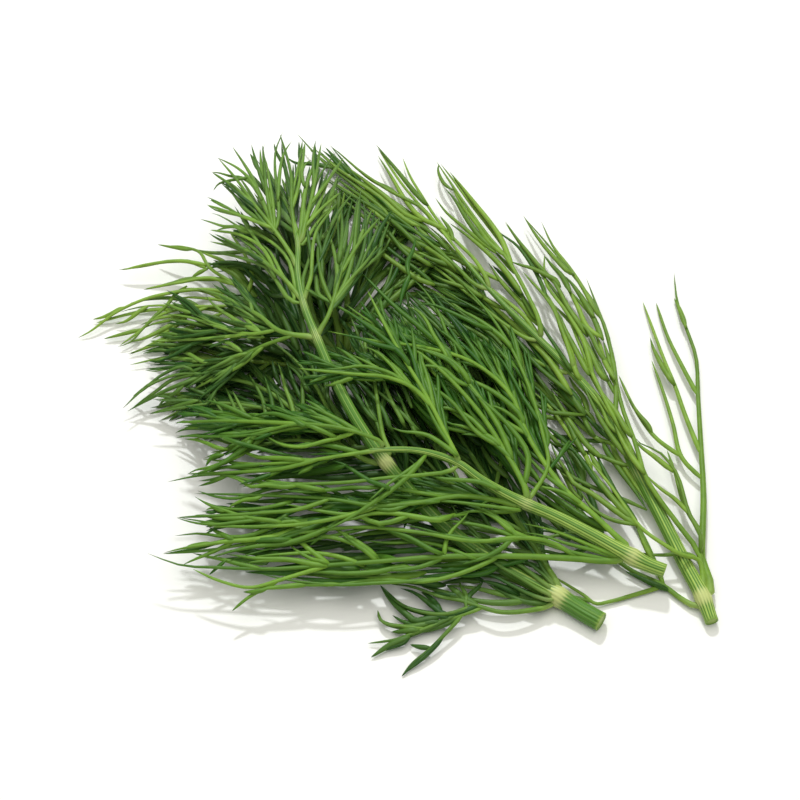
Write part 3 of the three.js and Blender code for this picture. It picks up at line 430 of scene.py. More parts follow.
MIDDLE_LEAVES["right_leaf_1_short"] = {"radius": 0.45, "shade": 0.35, "habit": "airy", "axis": [
    (29.7, -12.5, 9.2), (28.6, -7, 9.4), (26.2, 1.5, 9.8), (23, 9, 9.8), (18, 17, 9.6), (12, 24, 9),
], "lit": [
    (10, 10.6, 8.8, 14.7, 7.8, 17.4, 5.4, 21.3, 1.9, 24.9),
    (10.4, 9, 1.7, 25, 1.5, 27.4, 2.6, 30, 3.1, 32.4), (10.4, 9.6, 2, 25.2, 1.3, 23.5, 0.3, 20.6, 0.1, 18.6),
    (11, 10.4, 15.6, 15, 12.7, 16.4, 9.7, 17.8, 7.4, 18.8, 5, 19.2, 3.4, 18.9),
    (9.4, 9.8, 29.6, -8, 28.2, -3.6, 26.4, 0, 25.4, 3.4, 25, 7),
    (9.4, 9, 24, -11, 20.6, -6.4, 17.6, -2.6, 15.4, 1),
    (9.8, 9.8, 26.6, -2.4, 24.6, 0.6, 22.8, 4, 20.6, 7.6, 17.4, 11.4),
    (9.8, 9.2, 22, 10.8, 18.6, 14, 14.4, 16.8, 10.4, 18.8),
]}
MIDDLE_LEAVES["left_leaf_1"] = {"radius": 0.75, "shade": 0.6, "axis": [
    (44.6, -31.9, 5.2), (42, -32.2, 5.1), (36, -31.8, 5.6), (20, -31.2, 7), (9, -31.3, 7.6),
    (-4.5, -32.3, 7.8), (-14, -33, 7.2), (-26, -33.8, 6.6), (-36, -33.5, 6.4), (-44, -33, 6.6),
    (-50.7, -30.6, 7.2),
], "twigs": [
    [(-14, -33, 7.2), (-20, -34.8, 6.6), (-24, -36, 6.4), (-30, -37.5, 6), (-36, -36.2, 6.2),
     (-41.5, -33.8, 6.6)], [(-24, -36, 6.4), (-27.5, -37.8, 5.6), (-31, -40, 4.8), (-33.6, -42.2, 4.2)],
    [(20, -31.2, 7), (14, -34, 6.4), (5, -36.3, 6), (-4, -35.9, 5.8), (-16, -37, 5.8), (-22, -35.8, 6)],
    [(36, -31.8, 5.6), (29.5, -28.2, 7.4), (23.5, -27.5, 8.2), (16, -28.3, 8.8), (4, -26.5, 9.4),
     (-8, -25.4, 9.2), (-20, -26.6, 8.6), (-32, -28, 7.6), (-43.7, -29.9, 6.6)],
    [(-4.5, -32.3, 7.8), (-8, -29.4, 8.2), (-14, -27.4, 8), (-26, -28, 7.4), (-38, -30, 6.6),
     (-47.4, -30.8, 6.6)],
], "lit": [
    (8.2, 9.8, 23.5, -27.5, 22, -25.5, 20, -24, 17, -22, 13, -21),
    (8.2, 6.8, 22.4, -27.8, 20.5, -29.5, 18, -31, 12, -33),
    (7.7, 9.8, 8.8, -31, 9.5, -27.5, 10.5, -26, 12.5, -24, 14, -22),
    (7.2, 7.4, -14, -33, -16, -31.5, -18, -30, -20, -28.3, -24, -26.5),
    (8, 6.6, -34.3, -27.5, -35.9, -26.7, -37.1, -26.1, -38.2, -25.4),
    (8.8, 6.4, -24.5, -24.9, -27.4, -26.1, -30, -27.1, -35.3, -27.3, -40.2, -26.7, -45.2, -27.2),
    (8.4, 5.4, -22.5, -27.9, -30.4, -28.1, -35.9, -28.3, -39.2, -29.4, -43.7, -30.2, -47.6, -30.8),
    (7, 5.6, -37.3, -28.7, -39.8, -28.9, -42.2, -29.3, -43.5, -29.9),
    (6.6, 5.6, -29.4, -33.4, -32.3, -32.8, -35.9, -31.8, -38.2, -31.4, -41.6, -30.6),
    (6.8, 5.2, -35.4, -29.4, -37.1, -30.2, -39.4, -31.2, -41.8, -32.2, -43.5, -33),
    (6.6, 5.2, -34.7, -32, -35.7, -32.8, -37.1, -34, -38.2, -35),
    (6, 5.4, -27.4, -38, -29, -38.3, -31.4, -38.4),
    (7.4, 6.6, -14.6, -33.2, -17.6, -32.8, -21.5, -32, -29.4, -31.6, -34.9, -30.8),
    (7.6, 7, -14.6, -32.6, -17.6, -31.8, -20.5, -30.2, -22.5, -28.7),
    (6.4, 6, -12, -36.8, -15.6, -36.9, -18.6, -37, -21.3, -36.7),
    (7.8, 9.4, 8.2, -31, 4, -29, 0.4, -27.4, -3, -25.8, -6, -24.2, -9, -22.6),
    (7.8, 8.6, -4.5, -31.4, -7.6, -29, -11, -26.9, -14, -25.2),
    (8.2, 9, 23, -27.4, 18, -25.6, 13, -24.6, 8, -24, 3, -23.4),
    (8.2, 8.8, 22.4, -28, 17, -28.3, 12, -27.4, 8, -26.8, 4, -25.6, 0, -24.9),
    (8.2, 9.4, 24, -27, 22, -26, 19, -23.6, 16, -22.2),
    (5.6, 8, 44, -31.4, 38, -29.9, 33, -28.6, 28, -27, 24, -26.4),
    (5.4, 7.8, 40, -31.6, 35, -30.6, 31, -29.4, 27.6, -28.4, 24, -28),
    (6, 8, 43, -31, 37, -28.6, 32, -26.6, 28, -25.4, 24, -24.6),
    (8.6, 7, -16.3, -24.2, -21.4, -26.1, -25.9, -27.4, -30.4, -28, -34.9, -28.3, -39.4, -29, -43.2, -29.6,
     -47.4, -30.6), (9, 6.6, -14, -25.6, -18, -27.2, -22.7, -28.6, -29.1, -29.3, -34.9, -30.6, -38.7, -31.8),
    (7.6, 9, -4.2, -31.8, -8, -29.5, -11.8, -26.7),
    (8.4, 9.6, 8, -30.6, 1.6, -27.4, -4.8, -25.1, -9.9, -23.8),
    (9.4, 6.6, 8, -23.5, 1.6, -24.2, -4.8, -25.1, -11.2, -26.7, -17.6, -28, -24, -29.3, -30.4, -30.9, -34.9,
     -32.5), (6, 6.6, 8, -35.7, 1.6, -36.3, -4.8, -36.6, -11.2, -37, -17.6, -36.6, -24, -35.7, -29.1, -34.4),
    (7, 6.4, 1.6, -33.4, -4.8, -34.4, -11.2, -34.7, -17.6, -34.4, -21.4, -35),
    (7.4, 6.8, -8, -32.8, -12, -31.4, -17, -30.6, -23, -30.8, -30, -31.4),
    (7.2, 6.6, -16, -33.2, -20, -32.2, -25, -32, -31, -32.6),
    (7.6, 7.4, 14, -31.4, 9, -29.4, 4, -28.4, -2, -28.6, -8, -28),
    (7.4, 6.6, 9, -31.4, 4, -33.4, -2, -34, -8, -33.8), (6, 6, -18, -36.8, -22, -37.2, -26, -37.6, -29, -38),
], "dark": [
    (6, 6, 0, -26, -6, -26.6, -12, -27.6), (5, 5, 20, -33.2, 12, -33.8, 4, -34.4, -4, -34.7),
    (5, 5, 4, -34.8, -4, -35.2, -12, -35.4, -20, -34.8), (5, 5, -8, -33.8, -16, -33.9, -24, -33.7),
    (5, 5, -2, -33.2, -10, -33.3, -18, -33.3), (5, 5, 18, -34.2, 10, -35, 2, -35.4),
    (5, 5, 19, -32.4, 12, -32.8, 5, -33.4), (5, 5, 14, -31.6, 7, -32, 0, -32.6),
    (5, 5, -4, -31.4, -11, -32, -18, -32.4), (5, 5, 6, -30, 0, -30.2, -6, -30.6),
    (5, 5, -10, -35, -18, -34.6, -26, -34), (5, 5, -6, -36, -14, -36.2, -22, -35.4),
    (5, 5, -20, -34.8, -25, -34.6, -31, -34.4), (5, 5, -26, -30.8, -30, -30.4, -34, -30),
    (5, 5, -27, -32.4, -31, -32, -35, -31.6),
]}
MIDDLE_LEAVES["right_leaf_2"] = {"radius": 0.6, "shade": 0.4, "habit": "dense", "axis": [
    (25.4, -19.1, 10.9), (23.5, -14.5, 11.4), (20.5, -9.5, 11.8), (17, -4, 12.4), (13, 1, 13.2), (7, 7, 14),
    (0, 12, 14.6), (-8, 17, 15.4), (-12, 20, 16),
], "twigs": [
    [(20.5, -9.5, 11.8), (16, -7, 12.2), (10, 0, 12.8), (4, 4, 13.4), (-6, 9, 14)],
], "lit": [
    (13.6, 15, 9.4, 9.6, 5.7, 13, 3, 15.4, 0, 17.8, -3, 20.6, -6.3, 24, -9, 26.5),
    (14, 15, 8.4, 10.4, 6.6, 13.2, 5.2, 16, 3.6, 17.8, 1, 18.8),
    (13.8, 14.8, 13.4, 4.4, 10.6, 7.6, 8, 9, 5, 9.9, 1.4, 10.6),
    (14, 15, 12, 5.4, 9.6, 7.9, 7, 9.1, 4.5, 10.1, 0.4, 10.9),
    (13.4, 14.4, 11.4, 3.8, 8.6, 6.2, 6, 6.8, 2.8, 6.8),
    (12.6, 13.6, 19.6, -5, 16.8, -0.8, 14, 3, 12, 5.6, 10, 7.6),
    (12.4, 13.4, 25.6, -11, 22, -5.4, 18, -1.4, 15, 1.2, 12.6, 4),
    (12, 11.4, 17, -6.6, 14, -3.6, 11, -2, 7.3, -1.5, 3, -2.2),
    (12, 11, 20, -9, 16.4, -6.6, 13, -5.4, 9.4, -4.6), (11.8, 11.4, 22.6, -12, 19, -8.8, 16, -7.2, 12, -6.8),
]}
MIDDLE_LEAVES["left_leaf_2"] = {"radius": 0.6, "shade": 0.4, "habit": "inner", "axis": [
    (23.4, -21, 9.6), (20, -20.2, 9.8), (12, -19.2, 10.8), (4, -20.5, 11.4), (-4, -21.2, 11.4),
    (-14, -19.8, 11), (-30, -19, 9.8), (-41.2, -18.7, 8.4),
], "twigs": [
    [(-14, -19.8, 11), (-20, -21.8, 10.6), (-28, -22.6, 9.8), (-44.6, -23.5, 8)],
    [(-4, -21.2, 11.4), (-10, -23, 10.8), (-18, -24.6, 10.2), (-38.3, -25.4, 8.4)],
], "lit": [
    (10.4, 8.4, -23.5, -17.5, -26.4, -17.8, -29, -18.7, -32.3, -19.6, -38.2, -19, -40.6, -18.1),
    (10, 8, -24.5, -24.3, -31.4, -23.3, -35.3, -22, -37.8, -21.2, -41.2, -19.2),
    (10, 8.6, -28.4, -19.6, -31.2, -20, -33.1, -20.8, -34.5, -21.7),
    (8.6, 8, -35.7, -22.2, -37.5, -21.6, -38.9, -22),
    (9, 8, -33.3, -23.7, -35.3, -23.7, -37.1, -23.5, -39.2, -23.1, -41.1, -23),
    (9.6, 8, -27.4, -24, -31.4, -24.3, -37.3, -24.9, -40.2, -24.7, -42.6, -24.2, -44.8, -23.5),
    (9.8, 10, 24.2, -21.6, 22, -20.2, 19.6, -19.9, 17, -20.4, 15.7, -21.6),
    (10, 11.2, 23.6, -22, 20, -21.5, 16, -21, 12, -20.5, 7, -20.2, 3, -20.6),
    (11.4, 11, 2, -20.9, -2, -22, -6, -21.4, -9.4, -20.6, -11.6, -18.8),
    (11, 10.6, 8, -24, 3, -23.3, -2, -22.6, -6, -22.8, -10, -24, -13, -24.6),
    (10.4, 9.8, -5, -24.6, -8, -23.2, -12, -22.8, -16, -22.2, -20, -21.4, -25, -20.4),
    (8, 9.4, 24.4, -22, 20, -22.4, 15, -22.2, 11, -22.8),
    (10, 7.6, -21.4, -24.2, -25.9, -25.1, -30.4, -25.4, -34.9, -25.1, -40, -24.2, -44.5, -23.5),
    (11.4, 8, -4.8, -17.4, -11.2, -17.8, -17.6, -18.1, -24, -18.4, -29.1, -19.4, -33, -19.7, -36.8, -19.2,
     -40.6, -18.1),
    (10, 7.6, -22.7, -20.6, -27.2, -21.6, -31.7, -21.9, -35.5, -21.6, -38.7, -20.6, -41, -19.4),
    (11.6, 9, 8, -20.3, 1.6, -20.6, -4.8, -21.6, -11.2, -22.9, -16.3, -24.2),
], "dark": [
    (7, 6, -14, -20, -20, -20, -26, -20.2, -31, -20.4), (8, 7, -20, -17, -25, -17.4, -30, -17.4),
]}
MIDDLE_LEAVES["right_leaf_3"] = {"radius": 0.5, "shade": 0.45, "habit": "dense", "axis": [
    (11.4, -11.4, 14.1), (9.5, -7.5, 15), (6.5, -1.5, 16), (4, 3, 16.8), (0, 9.5, 17.8), (-2.5, 14, 18.4),
    (-6.7, 22.3, 18.6),
], "twigs": [
    [(6.5, -1.5, 16), (2.5, 2.5, 17), (-2, 4.4, 17.8), (-9.5, 5.2, 18.8), (-20.5, 6.3, 19)],
], "lit": [
    (16.4, 18, 5, 0.2, 0.6, 4, -2, 7.2, -5, 9.8, -8, 11),
    (17.6, 19, 1.6, 7.4, -1, 10.3, -4, 13, -8, 15.9, -11, 18),
    (17.8, 19, 0.2, 9.8, -1, 10.2, -5, 11.2, -8, 12.3, -12, 13.2),
    (17, 18.6, 1, 3.6, -2, 5.4, -5, 6.4, -8, 6.8, -12, 6.3, -16, 6.1),
    (14.8, 15.4, 11.6, -11.2, 8.4, -8.8, 5.4, -7, 3, -6.5, 0.6, -6.3, -2, -5.4),
    (15, 16.4, 9.4, -8, 7.6, -5.4, 6, -2.4, 4.6, 0.4),
]}
MIDDLE_LEAVES["left_leaf_3"] = {"radius": 0.45, "shade": 0.45, "axis": [
    (10.6, -13.9, 13.2), (5, -14.9, 13.6), (-2, -15.5, 13.8), (-10, -16.4, 13.2), (-20, -16.8, 12.2),
    (-26, -16.7, 11.4), (-31, -15.9, 10.6), (-35, -14.9, 10), (-40, -15.1, 9.4), (-46.6, -16.4, 8.6),
], "lit": [
    (12.6, 10.6, -16.6, -17.8, -21.5, -16.9, -25.5, -16.3, -29.4, -15.3),
    (12, 10.6, -23, -17.4, -27, -17, -30, -17.3, -32.3, -15.9, -34.9, -15.3),
    (13, 10.6, -14.6, -12.3, -18.6, -12.7, -22.5, -13.3, -26.4, -13.9, -30.4, -13.7, -34.9, -13.5),
    (12.8, 13, 20, -18, 16, -16.4, 12, -16, 8, -15.6, 4, -14),
    (13.8, 14, 5, -11.4, 2.3, -13.6, 0, -15.2, -2.4, -16.8, -4.4, -18.6, -6.6, -20.4),
    (13.8, 13, -2.4, -17.6, -6, -16.2, -8.6, -14.6, -11.4, -12.8, -14, -12),
    (13, 11.4, -3, -17.2, -6, -17.6, -10, -17.4, -14, -18, -20, -18.4, -25, -17.8),
    (14.4, 11, 5.4, -10.7, 1.6, -15.2, -2.2, -18.4, -6.1, -21, -11.2, -24.2, -16.3, -26.7),
], "dark": [
    (8, 7, -18, -14.6, -24, -15.4, -29, -15.8), (8, 7, -20, -12.6, -26, -13.4, -31, -13.6),
    (8, 7, -20, -14, -26, -15, -31.4, -15.2),
]}
MIDDLE_LEAVES["right_leaf_4"] = {"radius": 0.45, "shade": 0.55, "habit": "inner", "axis": [
    (-3.4, -8.6, 16.4), (-5, -7.8, 16.8), (-10, -6, 17.4), (-16, -5, 17), (-20, -4.8, 16.2), (-30, -7, 13.8),
    (-45, -7.2, 9.8),
], "twigs": [
    [(-20, -4.8, 16.2), (-28, -4.4, 14.4), (-36, -4.2, 12.4), (-45, -4.5, 10)],
], "lit": [
    (16.4, 14, -19.2, -5.1, -21, -4.1, -23, -3.3, -25.3, -2.7, -27.9, -2.9, -29.8, -3.5),
    (16, 9.8, -18, -5.1, -23.6, -5.9, -29.5, -7.8, -34.8, -10, -37.1, -10.8, -39.5, -11.8),
    (12, 9.4, -34.4, -9.8, -36.3, -9.6, -38.7, -8.6, -40.7, -8, -43.2, -7.8),
    (16.6, 13.4, -17.6, -5.3, -20.2, -4.3, -22.1, -3.4, -25.3, -2.7, -28.5, -3),
    (14, 12.6, -33.6, -8.2, -29.1, -9.4, -24, -10.7, -18.9, -11.4),
    (16, 13.6, -11.2, -7.2, -15, -8.2, -20.2, -9.4, -24, -8.8, -27.2, -6.9),
]}
MIDDLE_LEAVES["tip_leaf"] = {"radius": 0.45, "shade": 0.5, "habit": "airy", "axis": [
    (-7.6, -10.5, 15.4), (-11, -11, 15.2), (-16, -11.8, 14.4), (-22, -12.5, 13.4), (-28, -12.8, 12),
    (-39.5, -11.8, 9),
], "twigs": [
    [(-16, -11.8, 14.4), (-24, -13.8, 12.8), (-32, -14.4, 11), (-42.6, -14.8, 8.8)],
], "lit": [
    (14, 11, -18, -8.8, -21.6, -9.4, -24.5, -8.6, -27.5, -7.2, -33.4, -6.2, -35.2, -7),
    (14, 10.6, -20.6, -11.9, -24.5, -11.6, -28.5, -11.4, -31.4, -10.4, -34.4, -10.2),
    (11, 9.4, -36, -11, -37.7, -11.6, -38.9, -13.3), (11, 10, -35.2, -11, -36.3, -11.4, -37.5, -11.9),
    (12, 9, -32.8, -11.4, -35.4, -12.5, -38.3, -13.5, -41.1, -14.1, -42.6, -14.9),
    (12, 9.4, -28.5, -12.9, -32.4, -13.3, -35.4, -13.5, -37.3, -14.1, -39.3, -14.9),
    (13, 10, -30.4, -8.8, -33.6, -11.4, -36.8, -13.3, -41.9, -15.2),
]}

FRONT = {
    "slot": "deep_leaf", "width": 1, "joints": {2: 1, 6: 0.9, 9: 0.45, 10: 0.35, 11: 0.15, 12: 0.3},
    "radii": [(0, 1.8), (0.06, 1.75), (0.14, 1.45), (0.5, 1.2), (0.78, 0.85), (1, 0.45)],
    "gloss": [(0, 0.5), (0.075, 0.5), (0.1, 1.3), (0.2, 0.9), (0.35, 0.7), (1, 0.8)],
    "stalk": [
        (40.3, -44.4, 1.6), (36.5, -42.3, 1.8), (31.8, -39.4, 2.2), (20, -33, 3.4), (8, -24.6, 6),
        (3, -19.4, 8.4), (-3, -12.3, 12), (-7.5, -6, 13.6), (-12, 2, 15.4), (-16.6, 12.3, 17),
        (-19.3, 19.3, 17.6), (-20.5, 26, 17.6), (-20.4, 31, 17.2), (-20.9, 34, 17.1),
    ],
}
FRONT_LEAVES = {}
FRONT_LEAVES["left_leaf_1"] = {"radius": 0.6, "shade": 0, "axis": [
    (30.2, -40.8, 2), (25, -42.2, 2.8), (20, -42.4, 3.2), (15, -41, 3), (11.8, -40, 3), (8.6, -39.5, 2.8),
    (5.2, -38.3, 2.8), (2.6, -37.4, 2.6), (-2, -36.8, 2),
], "twigs": [
    [(16.6, -41.6, 3), (12.6, -42.9, 2.6), (5, -45.7, 2), (-1, -47.9, 1.4), (-6.5, -48.7, 0.6)],
    [(12.6, -42.9, 2.6), (9.6, -46.2, 2.2), (6, -49.8, 1.6), (2.6, -52.6, 1), (0.3, -55.3, 0.3)],
    [(14.6, -41.2, 3), (9, -42.8, 3), (4, -42.3, 2.8), (0.5, -41, 2.4), (-4, -37, 1.6)],
    [(5, -45.7, 2), (1, -45.3, 2), (-3.8, -44, 1.6), (-4.5, -42, 1.2)],
], "dark": [
    (3, 2.6, 13.2, -40.8, 13.2, -39, 12.4, -37.6, 11.8, -36.2),
    (3, 2.6, 13.4, -40.4, 14, -39, 15.3, -37.8, 16.7, -36.2), (3, 2.6, 13, -40.2, 11.5, -38.5, 9.3, -37),
    (2.8, 2.2, 14, -41.8, 12, -42.4, 8.8, -42.9, 7, -41.6, 5, -40, 3, -38.6, 0, -37.6),
    (2.6, 1.6, 9, -43.4, 5, -42.6, 2, -41.8, 0, -41, -2, -39.5),
    (2.2, 1.2, 5, -43.9, 3, -44.2, 1.5, -43, 0, -41.8, -2, -39.8, -4, -37),
    (2.2, 0.8, 6, -44.6, 2, -45.4, -1, -45.2, -3, -44.6, -4.2, -43.6, -4.5, -42.2),
    (1.4, 0.5, 1, -48.3, -2, -49.5, -4, -50.2, -5.8, -51.4),
    (2, 0.4, 8.6, -47.4, 6, -50.2, 3.4, -52.6, 1.6, -54, 0.4, -55.3),
    (1.8, 0.5, 2, -47.3, -2, -49, -5.8, -51.5), (1.6, 1, 6.3, -49.6, 4, -49.4, 2, -48.9),
    (2, 1, 3, -46, 0, -46.3, -1.8, -46.4), (2, 1.6, 30, -40.5, 24, -39, 18.5, -37.2),
    (2, 1.6, 28, -40, 22, -37.5, 18.8, -36.9), (2.2, 1, 6.6, -44.4, 3.4, -44.9, 0.6, -44.3, -1.6, -43),
    (2.6, 1, 11, -43, 7.4, -44.8, 3, -46.8, -0.6, -48.4),
    (2.4, 2.4, 29, -40.6, 24.6, -40.2, 20.6, -38.4, 17.4, -36.8), (2, 3, -4, -31, -10, -31, -16, -30.6),
    (2, 3, 0, -30, -6, -29.6, -12, -30), (2, 3, -14, -28.6, -20, -28.8, -28, -29.8),
    (2, 2, -16, -33, -22, -33.4, -28, -34), (2, 2, -4, -32.6, -10, -33, -16, -33.2),
    (2, 2, 8, -33, 3, -32.6, -2, -32.8), (2, 2, -18, -30.4, -24, -30.6, -30, -31),
    (2.8, 1.4, 8.4, -42.6, 7, -40.6, 5.6, -39.2, 4.2, -38.4),
    (2.8, 2, 14, -40.2, 11, -39.2, 8, -38.2, 4, -37.2), (2.8, 2, 13, -39.6, 10, -38.9, 7, -38.7, 4.4, -38.4),
    (2.6, 2, 16, -36.4, 13, -36, 10, -36.4, 8, -36.8), (2.2, 0.8, 11, -43.8, 8.6, -45, 5.6, -46, 2, -46.6),
    (2.4, 2, 20, -40.6, 17, -40.4, 14, -39.8, 11, -39),
]}
FRONT_LEAVES["right_leaf_1"] = {"radius": 0.6, "shade": 0.25, "habit": "dense", "axis": [
    (31.8, -37.6, 3), (29.5, -33.5, 3.2), (25, -26.5, 3.4), (19, -18, 3.6), (13, -9, 3.8), (8, 0, 3.8),
    (2, 8, 3.6), (-3, 16, 3.4),
], "twigs": [
    [(25, -26.5, 3.4), (16, -21.5, 3.6), (7, -14, 4), (0, -6, 4.2), (-6, 0, 4.2)],
    [(19, -18, 3.6), (20.5, -9, 3.8), (18, 0, 3.8), (13, 10, 3.6), (8, 17, 3.2)],
], "lit": [
    (3.2, 6, 31, -37, 28.6, -33.8, 27.2, -31.4, 25.6, -29, 24.2, -27.2),
    (3, 5.4, 30, -36.4, 26, -34.4, 22.5, -32.4, 19, -30.6), (5, 7, 18, -30, 15, -26.4, 12, -23.6, 10, -20.4),
    (5, 7, 15, -29.4, 12, -26.4, 7.6, -22.4, 5.4, -18.4, 3, -15.6), (4.4, 6, 12.4, -18, 11, -14.6, 9, -11.4),
    (4.4, 6, 16, -22.6, 13, -19, 10.6, -16, 8.4, -14.4), (4.4, 6, 6.6, -19.6, 5, -16, 3.4, -13.4, 0.8, -11),
    (3.2, 4.8, 30.4, -40, 27, -39.2, 23, -37.4, 18.6, -35.2, 14.4, -34),
    (3.5, 7, 30.2, -39.2, 28, -38, 24.4, -35.8, 20.6, -33.6, 17, -31.2, 13.4, -29),
    (3.6, 7.2, 31, -37.2, 29.2, -35.4, 26, -32.8, 22, -30, 18, -27.6),
    (3.6, 7.8, 30.6, -38, 27.6, -35.8, 24, -33, 20.4, -31, 16.4, -28.4, 12.6, -25),
], "dark": [
    (4, 3, 11, 0, 8, 5, 5, 10, 3, 16, 2, 20), (4, 3, 13, 3, 10, 8.4, 7, 13, 5, 18),
    (4, 3, 4, -17, 2.6, -19.6, 2, -22.6, 0.6, -26), (4, 4, 9, -19, 6.4, -21, 3, -22.4, -1, -23),
    (4, 4, 3, -18, -1, -19.6, -5, -22, -9, -23.6),
    (3, 2.6, 13, -28.6, 6, -28, 0, -28.4, -6, -29, -12, -30.4),
    (3, 2.6, 16, -30, 9, -29.8, 2, -30, -4, -30.4, -10, -31.6),
    (3, 2.6, 8, -26.4, 2, -27, -4, -27.4, -10, -28.4, -17, -29.4),
    (3, 2.6, 0, -26, -6, -27.4, -12, -29, -20, -30, -28, -30.2),
    (3, 3, 38, -27, 34, -26.6, 30, -27.4, 26, -28.4), (3, 3, 40, -28.4, 36, -27.6, 31, -26.4, 27, -26),
    (4, 3, 2, -18.4, -3, -18.8, -8, -18.8, -13, -19), (4, 3, 14, 6, 10, 12, 6, 16, 1, 20),
    (4, 3, 12, 10, 8, 15, 4, 19, 0, 23), (4, 3, 15, 9, 12, 14, 9, 18, 6, 22),
    (4, 3, 16, 4, 11, 9, 6, 13, 2, 17), (4, 3, 8, 6, 5, 12, 2, 18, 1, 23),
    (4, 3, 18, 8, 14, 13, 10, 17, 5, 20), (4, 3, 5, 4, 2, 11, 0, 17, -2, 22),
    (2, 2, 28, -38.4, 23, -36, 17, -35, 11, -35.4), (2, 2, 27, -39.6, 21, -39, 15, -37.6, 9, -37),
    (3, 3, 8, -8, 5, -4, 3, 0), (3, 3, 9, -7, 6, -3, 3.6, 1.6), (3, 3, 1, -13, 0, -10, -1.6, -6),
    (3, 3, 5, -17, 1, -17.6, -3, -17.4), (3, 3, 6, -17, 3.4, -15.4, 1, -14.6),
    (3, 3, 13, -24, 9, -21.6, 5, -20), (3, 3, 16, -24.6, 12, -23, 8, -22),
    (3, 3, 20, -29, 16, -28.8, 11, -28.2), (3, 3, 8, -26, 4, -25, 0, -24), (3, 3, 4, 2, 1, 3, -2, 3.6),
    (3, 3, 3, -4, 0, 0, -2, 3), (3, 3, 6, -10, 4, -6, 2, -2), (3, 3, 4, 15, 1, 18, -3, 21),
    (3, 3, 6, 14, 3, 17.6, 0, 20), (3, 3, 8, 15, 5.4, 18, 3, 20.6), (3, 3, 20, -26.4, 15, -25.6, 11, -24),
    (3, 3, 18, -27.6, 14, -26.6, 10, -26), (3, 3, 27, -31, 22, -30, 18, -29.4),
    (3, 3, 1, 15.6, -1, 17.6, -3.4, 19), (3, 3, 32, -31, 29, -30.2, 25, -30.2),
    (3, 3, 28, -33.6, 25, -32.6, 21, -32.4), (3, 3, 24, -33.4, 18, -33.6, 12, -33.8),
    (3, 3, 8, -37, 3, -36.4, -3, -36), (3, 3, 3, 10, 0, 15, -4, 20), (3, 3, 5, 11, 1, 16, -2, 21),
    (3, 3, 11, 11, 6, 16, 1, 21), (3, 3, 12, 13, 7, 18, 3, 22), (3, 3, 22, -38, 19, -36.8, 16, -36),
    (3, 3, 10, 9, 8, 12.4, 6, 16),
]}
